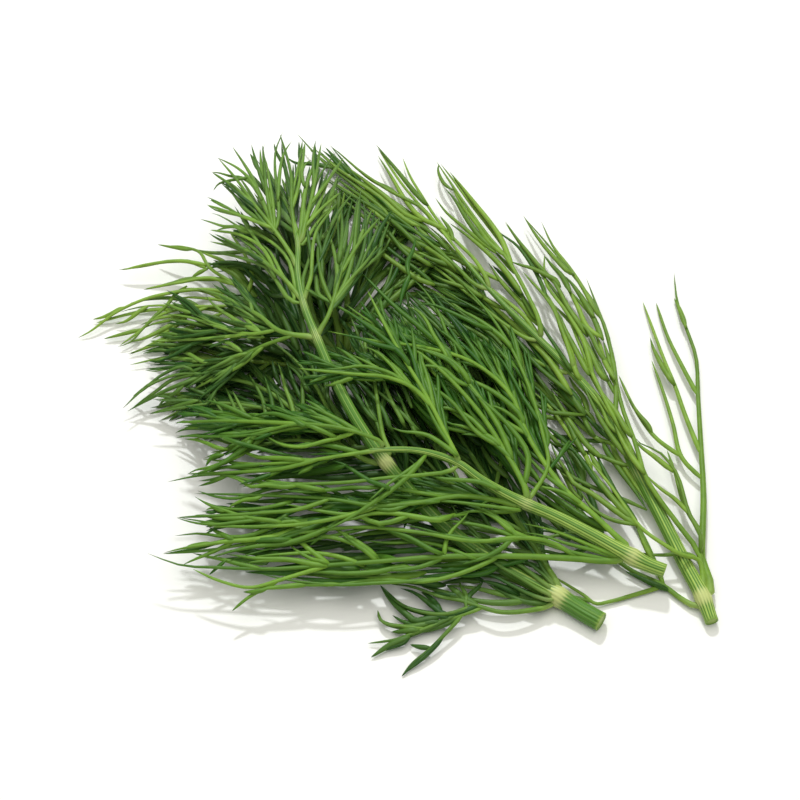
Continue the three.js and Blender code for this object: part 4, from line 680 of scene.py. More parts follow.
FRONT_LEAVES["left_leaf_2"] = {"radius": 0.6, "shade": 0.4, "habit": "inner", "axis": [
    (-4.4, -12.6, 10.8), (-12, -9, 10), (-20, -3, 9), (-28, 2.6, 8), (-36, 4.6, 7), (-44, 5.2, 6),
    (-50, 3, 5), (-55.3, -1.5, 4),
], "twigs": [
    [(-20, -3, 9), (-28, -1.5, 8), (-36, -0.6, 7), (-44, -1.6, 6), (-50, -2.8, 5)],
    [(-12, -9, 10), (-22, -8, 9), (-30, -9.4, 8), (-38, -10.5, 7)],
    [(-12, -9, 10), (-14, -3, 9.6), (-17, 3, 9.2), (-21, 8, 8.6), (-26, 12, 8)],
], "lit": [
    (7, 2, -42.4, 6.5, -47.1, 5.3, -50.3, 3, -52.5, 1.4, -54, -0.3, -55.6, -1.8),
    (5, 1.6, -50.3, 3, -51.8, 1.8, -53.4, 0.8),
    (7, 1.6, -44.2, 3, -46.2, 2.2, -50.1, 0.2, -52.5, -1.1, -54.6, -2.3),
    (6, 2, -45, 1.4, -46.2, 0.6, -47.5, -0.3, -48.5, -1.5),
    (7, 1.6, -40.3, -0.1, -44.2, -1.1, -46.2, -1.7, -50.3, -2.8),
    (6.4, 2.4, -39.5, -2.3, -43.2, -3.3, -45, -4),
    (7, 2.6, -37.3, -5.9, -39.3, -5.5, -42.2, -4.4, -43.8, -4.3, -45.1, -4.9),
    (7, 2.6, -37.5, -6, -41.1, -5.7, -43.2, -5.9, -45, -6.6),
    (7, 2.6, -36.4, -7.8, -40.3, -7, -42.6, -7.2, -45, -7.6),
    (9, 7, -27.7, -6.8, -32.4, -4.7, -35.2, -2.7, -37.3, 0.2, -39.3, 3),
    (8.6, 7, -32, -5.1, -32.8, -2.3, -33.8, 0.2, -35, 2.8),
    (8.6, 4.4, -31.4, -5.7, -34.4, -4.1, -37.3, -2.3, -39.9, 0.2, -41.5, 2.2),
    (8.4, 4.4, -33.4, -6, -36.3, -4.5, -39.3, -3.1, -41.8, -1.3),
    (9, 8, -29.1, -6, -30.6, -3.7, -32.4, -0.3, -33.6, 2),
    (10, 8, -26.9, -2.3, -27.5, 0.2, -28.9, 3, -30.6, 5.8),
    (10, 8.6, -25.3, -2.3, -25.7, 0.2, -26.5, 3, -27.3, 5.4),
    (10.4, 8.6, -21, -3.7, -21.8, -0.5, -23, 2.6, -23.8, 5.6, -24.5, 7.7),
    (10.4, 9, -19.6, -3.7, -19.4, 0.2, -19.6, 4.2, -19.2, 6.1), (10, 9, -18.6, 2.2, -20.6, 5.4, -22.6, 7.1),
    (10, 9, -23, -2.7, -24.1, 0.2, -25, 2.2), (6, 2, -42, 5, -45.6, 4, -49, 1.6, -51.6, -0.2, -54, -2),
], "dark": [
    (6, 5, -24.6, 21.6, -28, 25.4, -31, 27, -36, 27.5, -40, 26.4),
    (6, 5, -22.4, 19.6, -25, 22.8, -27.6, 25.4, -31, 26.8, -35, 26.8),
    (6.4, 5.4, -22, 17.4, -25, 20.4, -28, 23, -30.4, 25.6, -33, 28.4),
    (6.4, 6, -21, 15, -23, 19, -24.4, 22.6, -26.6, 26.4, -29.4, 30.4),
    (6, 5.4, -22.8, 15.4, -24.2, 18, -24.8, 20.6, -27, 24.4, -29, 28),
    (6.4, 6, -20.4, 16, -22, 20, -23, 23.6, -24.4, 28, -25, 32),
    (6, 5, -25.4, 16, -26.8, 18.8, -28.6, 20, -31, 20.8, -34, 21),
    (6, 6, -19.4, 14.4, -20.6, 18, -21.6, 22.6, -22.4, 27),
    (8, 7, -10, -7, -12.4, -3, -15, 1, -17, 5, -18.4, 10),
    (8, 7, -12, -8, -15, -4, -17.4, 0, -19, 5, -20.4, 10),
    (8, 7, -14, -8, -17, -4, -19.4, -0.4, -21.4, 4, -23, 8.6), (8, 7, -9, -4, -11.6, 1, -13.6, 5, -16.2, 10),
    (6, 5, -2, -13, -8, -13.6, -14, -14.4, -20, -14.8, -26, -14.4),
    (6, 5, -1, -14.4, -7, -15, -13, -15.6, -19, -15.4, -25, -15.4),
    (6, 5, -4, -12.6, -10, -12.4, -16, -13.4, -22, -14), (5, 4, -23.4, 14, -25, 18, -27, 21.4, -30, 25),
    (5, 4, -21, 21, -23.6, 26, -27, 30, -30, 33), (5, 4, -19.6, 18, -20.4, 24, -22, 30, -23.6, 36),
    (5, 4, -28, 15.4, -29, 18.4, -31, 20), (5, 4, -27, 23.6, -31, 26.2, -36, 26.8, -40.4, 25.8),
    (5, 5, -6, -9.6, -12, -9.8, -18, -10, -26, -10.2), (5, 5, -9, -11, -15, -13, -21, -13.6, -27, -12.6),
    (4, 4, -8, -9, -11, -4, -14, 2), (4, 4, -7, -8, -9, -4, -11, 1, -12, 6),
    (4, 4, -5, -6, -7.6, -1, -10, 4), (3, 3, -20, -10, -26, -9.6, -32, -9.4),
    (3, 3, -2, -17.6, -8, -19.4, -14, -20, -20, -20.2), (4, 4, -20.4, -1, -22.6, 3, -23.6, 6),
    (3, 2, -9, -6, -12, -1, -14, 4), (3, 2, -8, -9, -11, -4, -13, 1), (3, 2, -10, -8, -13, -3, -15, 2),
    (3, 2, -6, -12, -10, -7, -12, -3), (3, 3, -18, 0, -22, 4, -25, 8), (3, 3, -17, 2, -21, 6, -24, 10),
]}
FRONT_LEAVES["right_leaf_2"] = {"radius": 0.45, "shade": 0.25, "habit": "dense", "axis": [
    (-2.2, -10.9, 12.8), (-3.4, -7, 13.4), (-4.4, -1, 14), (-5.4, 5, 14.2), (-8, 12, 14.2), (-10, 17, 14),
], "lit": [
    (12.6, 13, 3, -6.3, 1.4, -3, 0.3, -0.2, -0.8, 2),
    (12.8, 14, 3, -5.4, -0.6, -1.6, -4, 1.4, -8, 4.4, -11, 6.6),
    (13.4, 14.6, -4.6, -4.4, -6.4, -2.6, -8.6, 0.8, -10.6, 3.4, -13, 7.4),
    (13.4, 14.4, -2, -5.4, -4, -1, -7, 2.4, -10, 5, -12.6, 8.6),
    (13, 13.6, -3.4, -7.6, -4.6, -4.6, -6.4, -1.4, -7.6, 1.6),
    (13, 14, 0.4, -4, -1.6, -0.4, -3.2, 3.4, -4.8, 7.6, -6.6, 11),
    (12.4, 13.4, 2.4, -1.6, 0.8, 2.4, -1.4, 6, -4.4, 9.4),
], "dark": [
    (7, 7, -4, 0, -7, 4, -10, 8.4, -12.4, 12.4), (7, 7, -6, 1, -9, 5, -12, 9, -14, 13),
    (7, 7, -2, 2, -5, 6.6, -8, 11, -9.6, 14.4), (7, 7, 0, 5, -3, 9, -6, 13, -8, 16.4),
    (8, 9, -1, -1, -4, 1.6, -7, 4, -10, 6, -13, 7.8), (6, 5, 3, -9, 0, -5, -3, -1, -6, 3, -9, 8),
    (6, 5, 5, -8, 2, -3, -1, 2, -4, 7, -6, 12), (6, 5, 7, -6, 4, -1, 1, 4, -2, 9, -4, 14),
    (6, 5, 9, -3, 6, 2, 3, 7, 0, 12, -2, 17), (7, 6, 1, -10, -2, -6, -5, -2, -8, 2, -11, 7),
    (7, 6, -1, -11, -4, -8, -7, -4, -10, 0, -12, 5), (4, 3, 24, -19, 22, -16, 20, -12),
    (4, 3, 25, -18.6, 23.4, -16, 21.6, -13), (4, 3, 18, -12, 16.6, -9.6, 15.4, -7),
    (4, 3, 13, -6, 11, -3.6, 9, -1), (3, 3, 31, -22, 28.6, -20, 26, -18.4),
    (3, 3, 34, -28, 30, -25.6, 26, -23.4), (4, 3, 6, -8, 4, -4, 1, 0), (4, 3, 1, -8, -1, -4, -3, 0),
    (4, 3, 8, -8, 5.4, -4.4, 3.6, -1), (4, 3, 8, -11, 6.4, -8, 4.4, -5),
    (4, 3, 1, -15, -0.6, -11.4, -2.6, -7), (4, 3, -0.6, -9.6, -2, -6.6, -3, -3), (4, 3, 1, 0, -1, 3, -3, 5),
]}
FRONT_LEAVES["left_leaf_3"] = {"radius": 0.6,
    "shade": 0.75, "habit": "inner", "droop": (-22, 0.42), "axis": [
    (-18.4, 12.7, 17), (-21, 13, 17.4), (-24.5, 14, 17.8), (-28, 16.8, 17.8), (-32, 19, 17.2),
    (-36, 21, 16.2), (-40.8, 22.3, 14.6),
], "twigs": [
    [(-24.5, 14, 17.8), (-30, 13.2, 17.4), (-36, 14.5, 16), (-42, 16.5, 14.4), (-46.7, 17.2, 13)],
    [(-21, 13, 17.4), (-27, 11, 17), (-33, 8.2, 16), (-38, 7.3, 14.8), (-51, 5.9, 11.4)],
    [(-27, 11, 17), (-32, 6.8, 15.8), (-37, 4.4, 14.4), (-41.5, 2, 13.2)],
    [(-30, 13.2, 17.4), (-37, 12.4, 15.8), (-43, 12, 14.4), (-50, 11.8, 12.4)],
], "lit": [
    (16.8, 7.4, -31.8, 9.1, -34.5, 8.1, -40.4, 7.5, -46.3, 6.3, -48.9, 5.7, -51, 5.9),
    (14.6, 8, -40.4, 7.7, -42.4, 8.1, -45.2, 8.3, -47.7, 8.2, -49.3, 7.7),
    (14.8, 8, -40, 7.9, -42, 9.1, -44.4, 10, -47.3, 11, -49.9, 11.8),
    (14, 9, -43.4, 9.8, -45.4, 9.7, -46.3, 8.5),
    (16.6, 8.8, -32.6, 10.4, -35.5, 11.8, -38.5, 12.4, -42.4, 13, -45.7, 13.1),
    (16.8, 8.6, -31.6, 9.6, -34.5, 10.6, -37.5, 11, -40.4, 11.2, -43.8, 12.2, -46.9, 12.6),
    (17.4, 9, -28.6, 12.6, -31.6, 12.6, -37.5, 13.2, -43.4, 15, -45.2, 15.9, -46.8, 17.3),
    (16, 9.4, -37.5, 14.9, -40.4, 16.1, -43.4, 17.1, -44.8, 18.4),
    (17.6, 14.4, -28.6, 13.8, -33.6, 16.5, -37.5, 19.3, -38.9, 20.9),
    (17.6, 14.8, -28.6, 14.2, -30, 15.4, -33.6, 19.1, -36.1, 21.6),
    (17, 15.4, -29.6, 18, -30, 19.7, -30.8, 21.6, -32.2, 23.4, -33.8, 24.4),
    (17, 9.2, -30.4, 8.7, -32, 7.3, -34.5, 5.5, -37.5, 4.7, -40.2, 3.6, -41.6, 2),
    (14, 9.4, -39.8, 3.8, -41, 5.9),
], "dark": [
    (4, 4, -24, 9.6, -29, 11.4, -34, 12), (4, 4, -25, 11, -29, 12, -33, 11.4),
    (3, 3, -26, 0, -30, 1, -34, 2.4), (3, 3, -26, 1.4, -30, 2.6, -34, 3.4), (3, 3, -20, 1, -21.6, 4, -23, 7),
    (3, 3, -24, 3, -25, 5.4, -25.6, 8), (4, 4, -20, 9, -22.6, 11.4, -26, 12.4),
    (2, 2, -24, 3, -29, 1.4, -35, 0.4), (2, 2, -24, 1, -29, -0.6, -35, -1.6),
    (2, 2, -25, 5, -30, 3.4, -36, 3), (4, 3, -15, 5, -18, 9, -20, 13), (4, 3, -16, 4, -19, 8, -22, 12),
    (4, 3, -28, 14, -32, 15, -37, 17), (4, 3, -27, 16, -32, 17, -37, 19), (4, 3, -21, 9, -26, 11, -31, 13),
    (5, 4, -30, 14.4, -34.6, 15.8, -40, 17.4),
]}
FRONT_LEAVES["right_leaf_3"] = {"radius": 0.5, "shade": 0.45, "habit": "airy", "axis": [
    (-15.9, 14.1, 17.9), (-14.5, 16.5, 18.4), (-13.5, 19.3, 18.6), (-12, 25, 18.2), (-10, 31, 17.2),
    (-8.5, 40.5, 14.8),
], "twigs": [
    [(-13.5, 19.3, 18.6), (-15.5, 24, 18.4), (-16.4, 29, 17.6), (-15.5, 35.2, 16.2)],
    [(-13.5, 19.3, 18.6), (-10, 24, 18.2), (-6.5, 28, 17.4), (-4.5, 31, 16.4)],
    [(-12, 25, 18.2), (-7.5, 32.4, 16.6), (-4, 36.5, 15)],
], "lit": [
    (18.6, 15, -13.1, 20, -13.1, 21.6, -12.5, 25.3, -12.1, 29.5, -12.3, 32.4, -12.5, 38.3),
    (18, 15, -12.2, 28, -11.6, 32, -11.7, 38.3),
    (18.6, 15.6, -13.1, 20.4, -12.5, 24.5, -12.9, 28.5, -13.8, 31.8, -14.8, 34.6),
    (18.4, 15.6, -13.5, 19.7, -15, 22, -15.8, 24.5, -15.6, 28.5, -15.2, 31.8),
    (18.2, 15.6, -13.7, 19.4, -16.2, 21, -16.8, 24.5, -18, 27.9, -18.6, 30.4),
    (18.6, 15, -12.9, 20, -10.9, 23.6, -9.7, 27.5, -8.7, 35.4, -8.3, 39.3, -7.7, 42.4),
    (18.6, 15, -12.5, 20.2, -9.7, 24.1, -8.1, 27.5, -6.8, 34.4, -7, 37.3, -7.4, 40.3),
    (18.6, 15, -12.7, 19.8, -8.1, 26.5, -6.6, 29.8, -4.4, 34.8, -3.9, 37.3),
    (18.4, 15.4, -12.3, 19.6, -9.3, 23.4, -7.4, 26.1, -5.8, 28.9, -4.4, 31),
], "dark": [
    (8, 8, -14, 20, -14.2, 25, -13.6, 30), (8, 7, -12, 22, -9.4, 27, -7, 33),
    (7, 6, -9.6, 17, -6.6, 20.6, -3.5, 25), (7, 6, -11, 17, -8, 21, -5, 26), (7, 6, -8, 14, -4, 18, -1, 23),
    (3, 3, -11, 15, -9.6, 20, -8, 26), (3, 3, -13, 17, -10.6, 22, -9, 27),
]}
FRONT_LEAVES["left_leaf_4"] = {"radius": 0.45, "shade": 0.75, "habit": "airy", "droop": (-24, 0.3), "axis": [
    (-20.4, 21, 17.6), (-22.3, 23.4, 17.6), (-25, 26, 17.2), (-30, 29.6, 16), (-38, 31.7, 14),
], "twigs": [
    [(-25, 26, 17.2), (-27.6, 30.4, 16.6), (-32, 33, 15.6), (-38, 34, 14.2)],
], "lit": [
    (16.6, 13, -22.7, 28.7, -26.6, 32.2, -32.1, 34.6, -36.1, 36.9, -38, 37.5),
    (15.4, 12.4, -28.8, 33.4, -31.9, 34.6, -35.5, 34.8, -38, 35.6, -40, 36.2),
    (15, 13, -31, 33.6, -33, 34.6, -35.1, 34.4, -37, 33.8),
    (17.2, 12.6, -21.3, 19.6, -25.1, 24.5, -29, 28.5, -33.7, 30.6, -38.2, 31.7),
    (17.2, 14.4, -21.1, 20.6, -23.7, 25.1, -26.6, 30.3, -28.4, 31.6),
    (16.4, 13.6, -25, 24.6, -27.4, 28.8, -29.2, 30, -31, 30.2),
    (16, 12, -27, 26.7, -31, 28.2, -35.4, 29.2, -38.4, 29.2),
], "dark": [
    (5, 4, -28, 24.6, -32, 26, -37, 25.6), (5, 4, -29, 26.6, -33, 27, -38, 27),
    (5, 4, -27, 22, -31, 25.4, -36, 26.6), (4, 4, -26, 18.6, -28.4, 21.6, -30.6, 24),
]}
FRONT_LEAVES["right_leaf_4"] = {"radius": 0.45, "shade": 0.5, "habit": "airy", "axis": [
    (-18.8, 21.4, 18), (-17.8, 24.6, 18.6), (-17.6, 28, 18.4), (-17, 33, 17.6), (-13, 39, 16),
], "lit": [
    (18.2, 16, -18.6, 22.2, -17.8, 21.6, -15.6, 20.2, -13.5, 19.3),
    (17.6, 15, -19.4, 24, -18.4, 27.4, -17.6, 30.4, -17, 33.6),
], "dark": [
    (9, 8, -12, 30, -11, 34, -10, 39), (9, 7, -10, 28, -7.6, 33, -5.6, 38), (8, 6, -8, 26, -6, 30, -3, 34),
    (8, 6, -7, 27, -6, 33, -5, 38), (8, 6, -9, 29, -8.4, 35, -8, 41), (7, 6, -6, 29, -4, 34, -1.6, 38),
    (8, 6, -10, 27, -11, 31, -10.6, 35.4), (7, 6, -4.6, 28.4, -3.6, 32, -2, 36),
]}
FRONT_LEAVES["left_leaf_5"] = {"radius": 0.5, "shade": 0.75, "habit": "airy", "axis": [
    (-21.2, 28, 17.4), (-22.6, 30.4, 17.4), (-25.3, 34.3, 17.2), (-29, 39, 16.6), (-33, 44.5, 15.4),
    (-36.3, 48.3, 14.2),
], "twigs": [
    [(-25.3, 34.3, 17.2), (-31, 36.5, 16.4), (-38.5, 39, 14.6)],
    [(-25.3, 34.3, 17.2), (-26.4, 40, 16.8), (-27.5, 51, 14.6)],
    [(-29, 39, 16.6), (-33, 42.4, 15.8), (-37.5, 45.5, 14.6)],
], "lit": [
    (17.4, 13.6, -25, 33.6, -24.3, 36.3, -24.6, 42.2, -25, 46.2, -24.9, 49.7, -23.4, 53.7),
    (16.8, 14, -24.4, 40, -24, 45.8, -23.5, 48.5, -22.7, 50.3, -21.6, 51.8),
    (17.2, 14, -25, 33.8, -25.6, 40.7, -26.2, 44.2, -26.8, 47.5, -27.4, 49.7, -27.1, 51.3),
    (16.6, 14, -25.7, 38.4, -26.4, 41.3, -27.4, 44.2, -27.8, 47.5, -28, 50.4),
    (17.2, 13.4, -25.2, 34, -27, 38.7, -28.4, 41.8, -29.6, 44.6, -30.8, 46.6, -33.6, 50.8),
    (16, 13, -28.6, 42.2, -30.8, 45, -32.5, 46.4, -34.9, 47.7, -36.7, 48.5),
    (16.4, 13, -27.6, 40, -29.8, 43.4, -31.5, 44.4, -34.1, 44.8, -36.1, 45.4, -37.9, 45.6),
    (15.4, 13, -31, 44.4, -34.5, 43.8, -36.3, 43.2, -37.4, 41.8),
    (17, 14, -25.3, 34, -29, 36.6, -30.6, 37.8, -33.5, 41.4, -35.3, 43.4),
    (17, 13.4, -25.3, 34, -29, 35.9, -31.2, 36.7, -34.1, 37.3, -37.1, 38.1, -38.8, 39.2),
    (16.6, 14, -27.2, 36.4, -29.4, 39.6, -31.4, 41.8, -32.8, 43.2),
    (8, 6, -30, 39.6, -32.4, 41.2, -34.6, 42.4), (10, 8, -28.6, 39, -30.6, 42.4, -32.4, 45),
    (6, 5, -27, 35.6, -30.4, 39, -33, 41.4),
], "dark": [
    (12, 8, -26, 34, -31, 39, -36, 43.6), (12, 9, -28, 38, -32, 41.6, -36, 43.6),
]}
FRONT_LEAVES["right_leaf_5"] = {"radius": 0.5, "shade": 0.75, "habit": "airy", "axis": [
    (-19.6, 32.4, 17.6), (-19.2, 34.4, 17.8), (-18, 39, 17.2), (-16.8, 45, 16), (-15.8, 51.2, 14.4),
], "twigs": [
    [(-19.2, 34.4, 17.8), (-16, 38, 17.2), (-12, 41.5, 15.8)],
    [(-18, 39, 17.2), (-15, 43, 16.4), (-11.3, 48.5, 14.6)],
], "lit": [
    (17.4, 14, -19.6, 33.2, -18.2, 37.3, -17.6, 40.3, -16.6, 43.8, -15.2, 46.2, -12.7, 49.7),
    (17.4, 14, -19.4, 33, -16.4, 38.9, -14.2, 44.2, -12.9, 46.4, -11.4, 48.3),
    (17.4, 15, -19.7, 31, -18.6, 32.4, -15.6, 36.7, -13.8, 38.3, -12.1, 39.7),
    (17.4, 15.4, -19.6, 33.4, -19.1, 36, -19.3, 39, -19.9, 42.6),
], "dark": [
    (12, 10, -18.5, 37, -17.5, 42, -16, 46.6), (12, 9, -16.5, 34, -14.6, 39, -12.6, 43.6),
    (11, 8, -15, 33, -12, 38, -9, 42), (12, 8, -17, 36, -14.4, 41, -11.4, 45),
    (12, 9, -16.4, 38, -16, 42, -15.4, 46), (12, 9, -14.6, 38, -13.4, 42, -12.4, 45),
    (12, 9, -18, 40, -18.4, 43.4, -18, 46.6),
]}
FRONT_LEAVES["tip_leaf"] = {"radius": 0.45, "shade": 0.75, "habit": "airy", "axis": [
    (-21.1, 34.6, 17), (-21.6, 38, 16.8), (-21.8, 45, 15.6), (-24, 53.2, 13.8),
], "twigs": [
    [(-21.6, 38, 16.8), (-20, 44, 16), (-19, 51.5, 14.4)],
], "lit": [
    (17.2, 14, -20.6, 33.4, -21.7, 37.3, -21.3, 42.2, -20.7, 45, -20.1, 48.1, -18.8, 51.8),
    (17.2, 14.2, -19.9, 33.2, -19.5, 37.3, -18.6, 43.4, -17.4, 46.6, -16.2, 49.1, -15.7, 51.5),
    (16.6, 15, -19.2, 43, -19.5, 46, -18.9, 47.2, -17.6, 48.1),
], "dark": [
    (12, 10, -22, 38, -25, 43, -27.5, 48.5), (12, 10, -24, 38, -28, 43, -31, 46.5),
    (12, 9, -26, 37, -31, 41, -35, 44), (12, 10, -20.8, 38, -20.6, 43, -21, 48),
    (12, 10, -23, 38, -26, 44, -28.6, 48),
]}

BACK = {
    "slot": "fresh_leaf", "width": 1.1, "joints": {2: 0.1, 4: 0.2},
    "radii": [(0, 1.25), (0.3, 1.3), (1, 0.6)],
    "gloss": [(0, 0.7), (1, 0.7)],
    "stalk": [
        (2, 3, 1.3), (-6, 6.5, 1.6), (-12, 9, 2), (-22, 14.5, 2.8), (-30, 19, 3.6), (-35, 21.6, 4),
    ],
}
BACK_LEAVES = {}
BACK_LEAVES["right_leaf_1"] = {"radius": 0.5, "shade": 0.3, "habit": "dense", "axis": [
    (-9.6, 9.6, 2.4), (-12, 14, 2.8), (-16, 22, 3.4), (-21, 29, 4), (-26, 35, 4.4), (-30, 41, 4.2),
], "twigs": [
    [(-16, 22, 3.4), (-15, 29, 4), (-12, 37, 4.2), (-11, 42, 3.4)],
    [(-21, 29, 4), (-27, 32.2, 4.4), (-33, 34, 4)], [(-21, 29, 4), (-22, 36, 4.2), (-22, 44, 3.8)],
    [(-12, 14, 2.8), (-9, 20, 3.4), (-5, 27, 4), (-1, 34, 4), (1, 38, 3.4)],
    [(-12, 14, 2.8), (-7, 18, 3.2), (-1, 22.6, 3.6), (5, 27, 3.6)],
], "dark": [
    (4, 4, -15.6, 13, -17.6, 17.6, -18.4, 22.4, -19, 28, -19.8, 33),
    (4, 4, -14.4, 13.6, -15.6, 18.4, -17, 24, -18, 29.4, -18.6, 34),
    (3.4, 4, -12, 11.6, -13, 17, -14.6, 22, -16.4, 27),
    (3.4, 4, -10.6, 10.6, -10.4, 16, -10.8, 22, -12.4, 28), (3.4, 4.4, -23, 30, -26.6, 33, -31, 35),
    (4, 4, -20, 30, -23, 36, -25.6, 41.4, -26.6, 46), (4, 4, -19, 28, -19.4, 34.6, -19, 41, -18, 47),
    (4, 3.6, -13.4, 30, -11, 35, -9.4, 40.6), (3.6, 3.4, -7, 18, -2.6, 22.4, 0, 27.6, 1, 32),
    (3.6, 3.4, -4, 18.4, 0.6, 22, 4.6, 25.6, 7.6, 28.6), (3.6, 3.4, -8, 14.4, -4.4, 19.6, -2, 25, -1, 29.6),
]}
BACK_LEAVES["left_leaf_1"] = {"radius": 0.55, "shade": 0.55, "habit": "inner", "axis": [
    (-11.6, 6.8, 1.4), (-16, 6.6, 1.4), (-26, 7.4, 1.6), (-36, 8.2, 1.8), (-46, 8.6, 1.6), (-54.2, 7, 0.9),
], "twigs": [
    [(-26, 7.4, 1.8), (-34, 3, 1.8), (-42, 0, 1.6), (-50, -1.6, 1.2)],
    [(-16, 6.6, 1.4), (-22, 0, 1.6), (-30, -5, 1.6), (-42, -8, 1.2)],
]}
BACK_LEAVES["right_leaf_2"] = {"radius": 0.5, "shade": 0.9, "axis": [
    (-30.6, 20.9, 4.6), (-33, 23, 5), (-38.5, 27, 5.6), (-40, 29.5, 5.6), (-43, 30.5, 5.2),
    (-47.5, 30.8, 4.2),
], "twigs": [
    [(-38.5, 27, 5.6), (-44, 27.8, 5), (-50, 27.2, 4), (-55.5, 26, 2.6)],
    [(-33, 23, 5), (-38, 24.4, 5.2), (-44, 23.5, 4.8), (-51, 22.2, 3.8)],
    [(-30.6, 20.9, 4.6), (-29.6, 24.5, 5), (-31, 29, 5.2), (-34, 33.5, 5)],
], "lit": [
    (5.2, 4, -42.4, 30.1, -45.2, 30.5, -48.5, 31.1),
    (5.4, 2.4, -38.5, 26.2, -41.4, 27.5, -46.3, 27.7, -52.2, 26.6, -56.4, 26),
    (5, 3.4, -35.3, 24.2, -39.5, 24.2, -42.4, 24.2, -45.4, 23.4, -51.4, 22),
    (5.4, 4.4, -38.5, 26.2, -39.3, 25.9, -40.6, 25.2, -41.8, 24.4),
    (4.8, 5, -33, 29.5, -36.9, 29.4, -40, 29.8, -42, 30.4),
    (4.8, 5, -35.4, 27.8, -36.9, 28.5, -38.5, 29.1, -40, 29.7),
], "dark": [
    (4, 4, -30, 21.6, -32.6, 24.6, -36, 26.6, -39, 27.6), (4, 4, -28.6, 20.6, -31, 23.4, -34, 25.4),
    (4, 4, -30.4, 23.4, -33.6, 26.4, -37.4, 28),
]}
BACK_LEAVES["left_leaf_2"] = {"radius": 0.5, "shade": 0.9, "axis": [
    (-31.6, 17.4, 2.8), (-38, 18.2, 2.8), (-44, 18.2, 2.6), (-49, 16.4, 2.2), (-52, 13.8, 1.8),
    (-56.2, 10.8, 1.2),
], "twigs": [
    [(-44, 18.2, 2.6), (-50, 18, 2), (-55, 17, 1.4), (-60.8, 15.4, 0.6)],
], "lit": [
    (3.6, 1, -42.6, 22.8, -45.2, 20.9, -46.3, 19.3, -48.7, 17.1, -51.5, 14.2, -54.2, 11.4, -56.6, 10.6),
    (1.8, 0.8, -51.6, 14.2, -53.8, 13.6, -56.2, 13, -59.3, 12.2),
    (2.4, 1.4, -45.4, 16.1, -47.7, 15.6, -49.9, 15, -51.5, 14.2),
    (3, 2.6, -38.5, 20.3, -41.4, 20.5, -43.2, 20.5, -45.6, 19.2),
    (3.6, 3.6, -38.1, 21.5, -40.4, 22, -42.6, 22.2, -44.4, 21.8),
    (2, 0.6, -46.3, 12.2, -48.3, 11.2, -50.3, 10.6, -52.2, 9.9, -54.2, 9.1),
    (2.2, 1.4, -45.2, 14.6, -47.3, 13.4, -49.7, 12.2),
    (2, 0.8, -46, 12.8, -49, 11.6, -51.6, 10.2, -54.6, 9.2),
    (2.4, 1.2, -45.6, 15, -48.4, 13.6, -51, 12.4, -54, 11.6),
]}
BACK_LEAVES["tip_leaf"] = {"radius": 0.5, "shade": 0.9, "axis": [
    (-36.2, 21.8, 4.1), (-42, 22, 4.2), (-46, 21.4, 4), (-50, 20.5, 3.6), (-57, 17.4, 2.4), (-62.5, 13.4, 1),
    (-64.5, 12.4, 0.4),
], "lit": [
    (2.4, 0.8, -55.8, 18.3, -57.7, 17.3, -59.7, 16.5, -61.5, 16.1),
    (3.6, 2, -39.5, 18.7, -45.4, 18.9, -51.3, 18.7, -54.2, 18.1, -56.2, 17.5),
    (2.6, 1, -52.2, 17.7, -53.4, 16.7, -55, 15.7, -57, 15.2),
    (3.4, 2, -42, 19.6, -46, 20.4, -50, 20.2, -54, 19.4), (3.4, 2, -40, 18, -44, 17, -48, 16.4, -52, 15),
]}

FRONDS = {
    "right_frond": (RIGHT, RIGHT_LEAVES),
    "middle_frond": (MIDDLE, MIDDLE_LEAVES),
    "front_frond": (FRONT, FRONT_LEAVES),
    "back_frond": (BACK, BACK_LEAVES),
}


def placed(drawn):
    """Drawn points in space, in metres: each lies at its height, on the straight line from the
    eye through its point on the drawing."""
    on_drawing = drawn[..., :1] * ACROSS + drawn[..., 1:2] * DRAWING_UP
    share = (EYE[2] - drawn[..., 2:]) / (EYE[2] - on_drawing[..., 2:])
    return (EYE + share * (on_drawing - EYE) - FOOTPRINT_MIDDLE) * MM


def run_along(path):
    """How far along its path each point is: the running sum of the steps between points."""
    steps = np.linalg.norm(np.diff(path, axis=-2), axis=-1)
    return np.concatenate((np.zeros(steps.shape[:-1] + (1,)), np.cumsum(steps, axis=-1)), axis=-1)


def compass(path):
    """Three directions at each point of a path, square to each other: along it, sideways and
    lift. Along is the change from the point before to the point after, and sideways is level."""
    along = np.gradient(path, axis=-2)
    along /= np.linalg.norm(along, axis=-1, keepdims=True)
    side = np.cross(along, UP)
    side /= np.linalg.norm(side, axis=-1, keepdims=True)
    return along, side, np.cross(side, along)


def angles_round(sides):
    """The angles of a ring's points, evenly spaced over a whole turn."""
    return TURN * np.arange(sides) / sides


def strays(spread, count, rng):
    """As many random values as `count` says, between the two of the spread."""
    return rng.uniform(*spread, count)


def bell(way, reach):
    """1 at no way off, falling as a bell curve: the exponential of minus (way over reach) squared."""
    return np.exp(-(way / reach) ** 2)


def smooth_row(points, count):
    """An even row of `count` points on the smooth curve through the drawn ones. Between two drawn
    points the curve is the cubic that has the drawn points' slopes at its ends, and a point's
    slope is the change from its neighbour before to its neighbour after."""
    drawn = np.array(points, float)
    at = run_along(drawn)
    slope = np.gradient(drawn, at, axis=0)
    fine = np.linspace(0, at[-1], FINE_STEPS * len(drawn))
    i = np.clip(np.searchsorted(at, fine, side="right") - 1, 0, len(at) - 2)
    span = (at[i + 1] - at[i])[:, None]
    t = (fine - at[i])[:, None] / span
    curve = (2 * t**3 - 3 * t**2 + 1) * drawn[i] + (t**3 - 2 * t**2 + t) * span * slope[i]
    curve += (3 * t**2 - 2 * t**3) * drawn[i + 1] + (t**3 - t**2) * span * slope[i + 1]
    run = run_along(curve)
    even = np.linspace(0, run[-1], count)
    return np.stack([np.interp(even, run, curve[:, axis]) for axis in range(3)], axis=1)


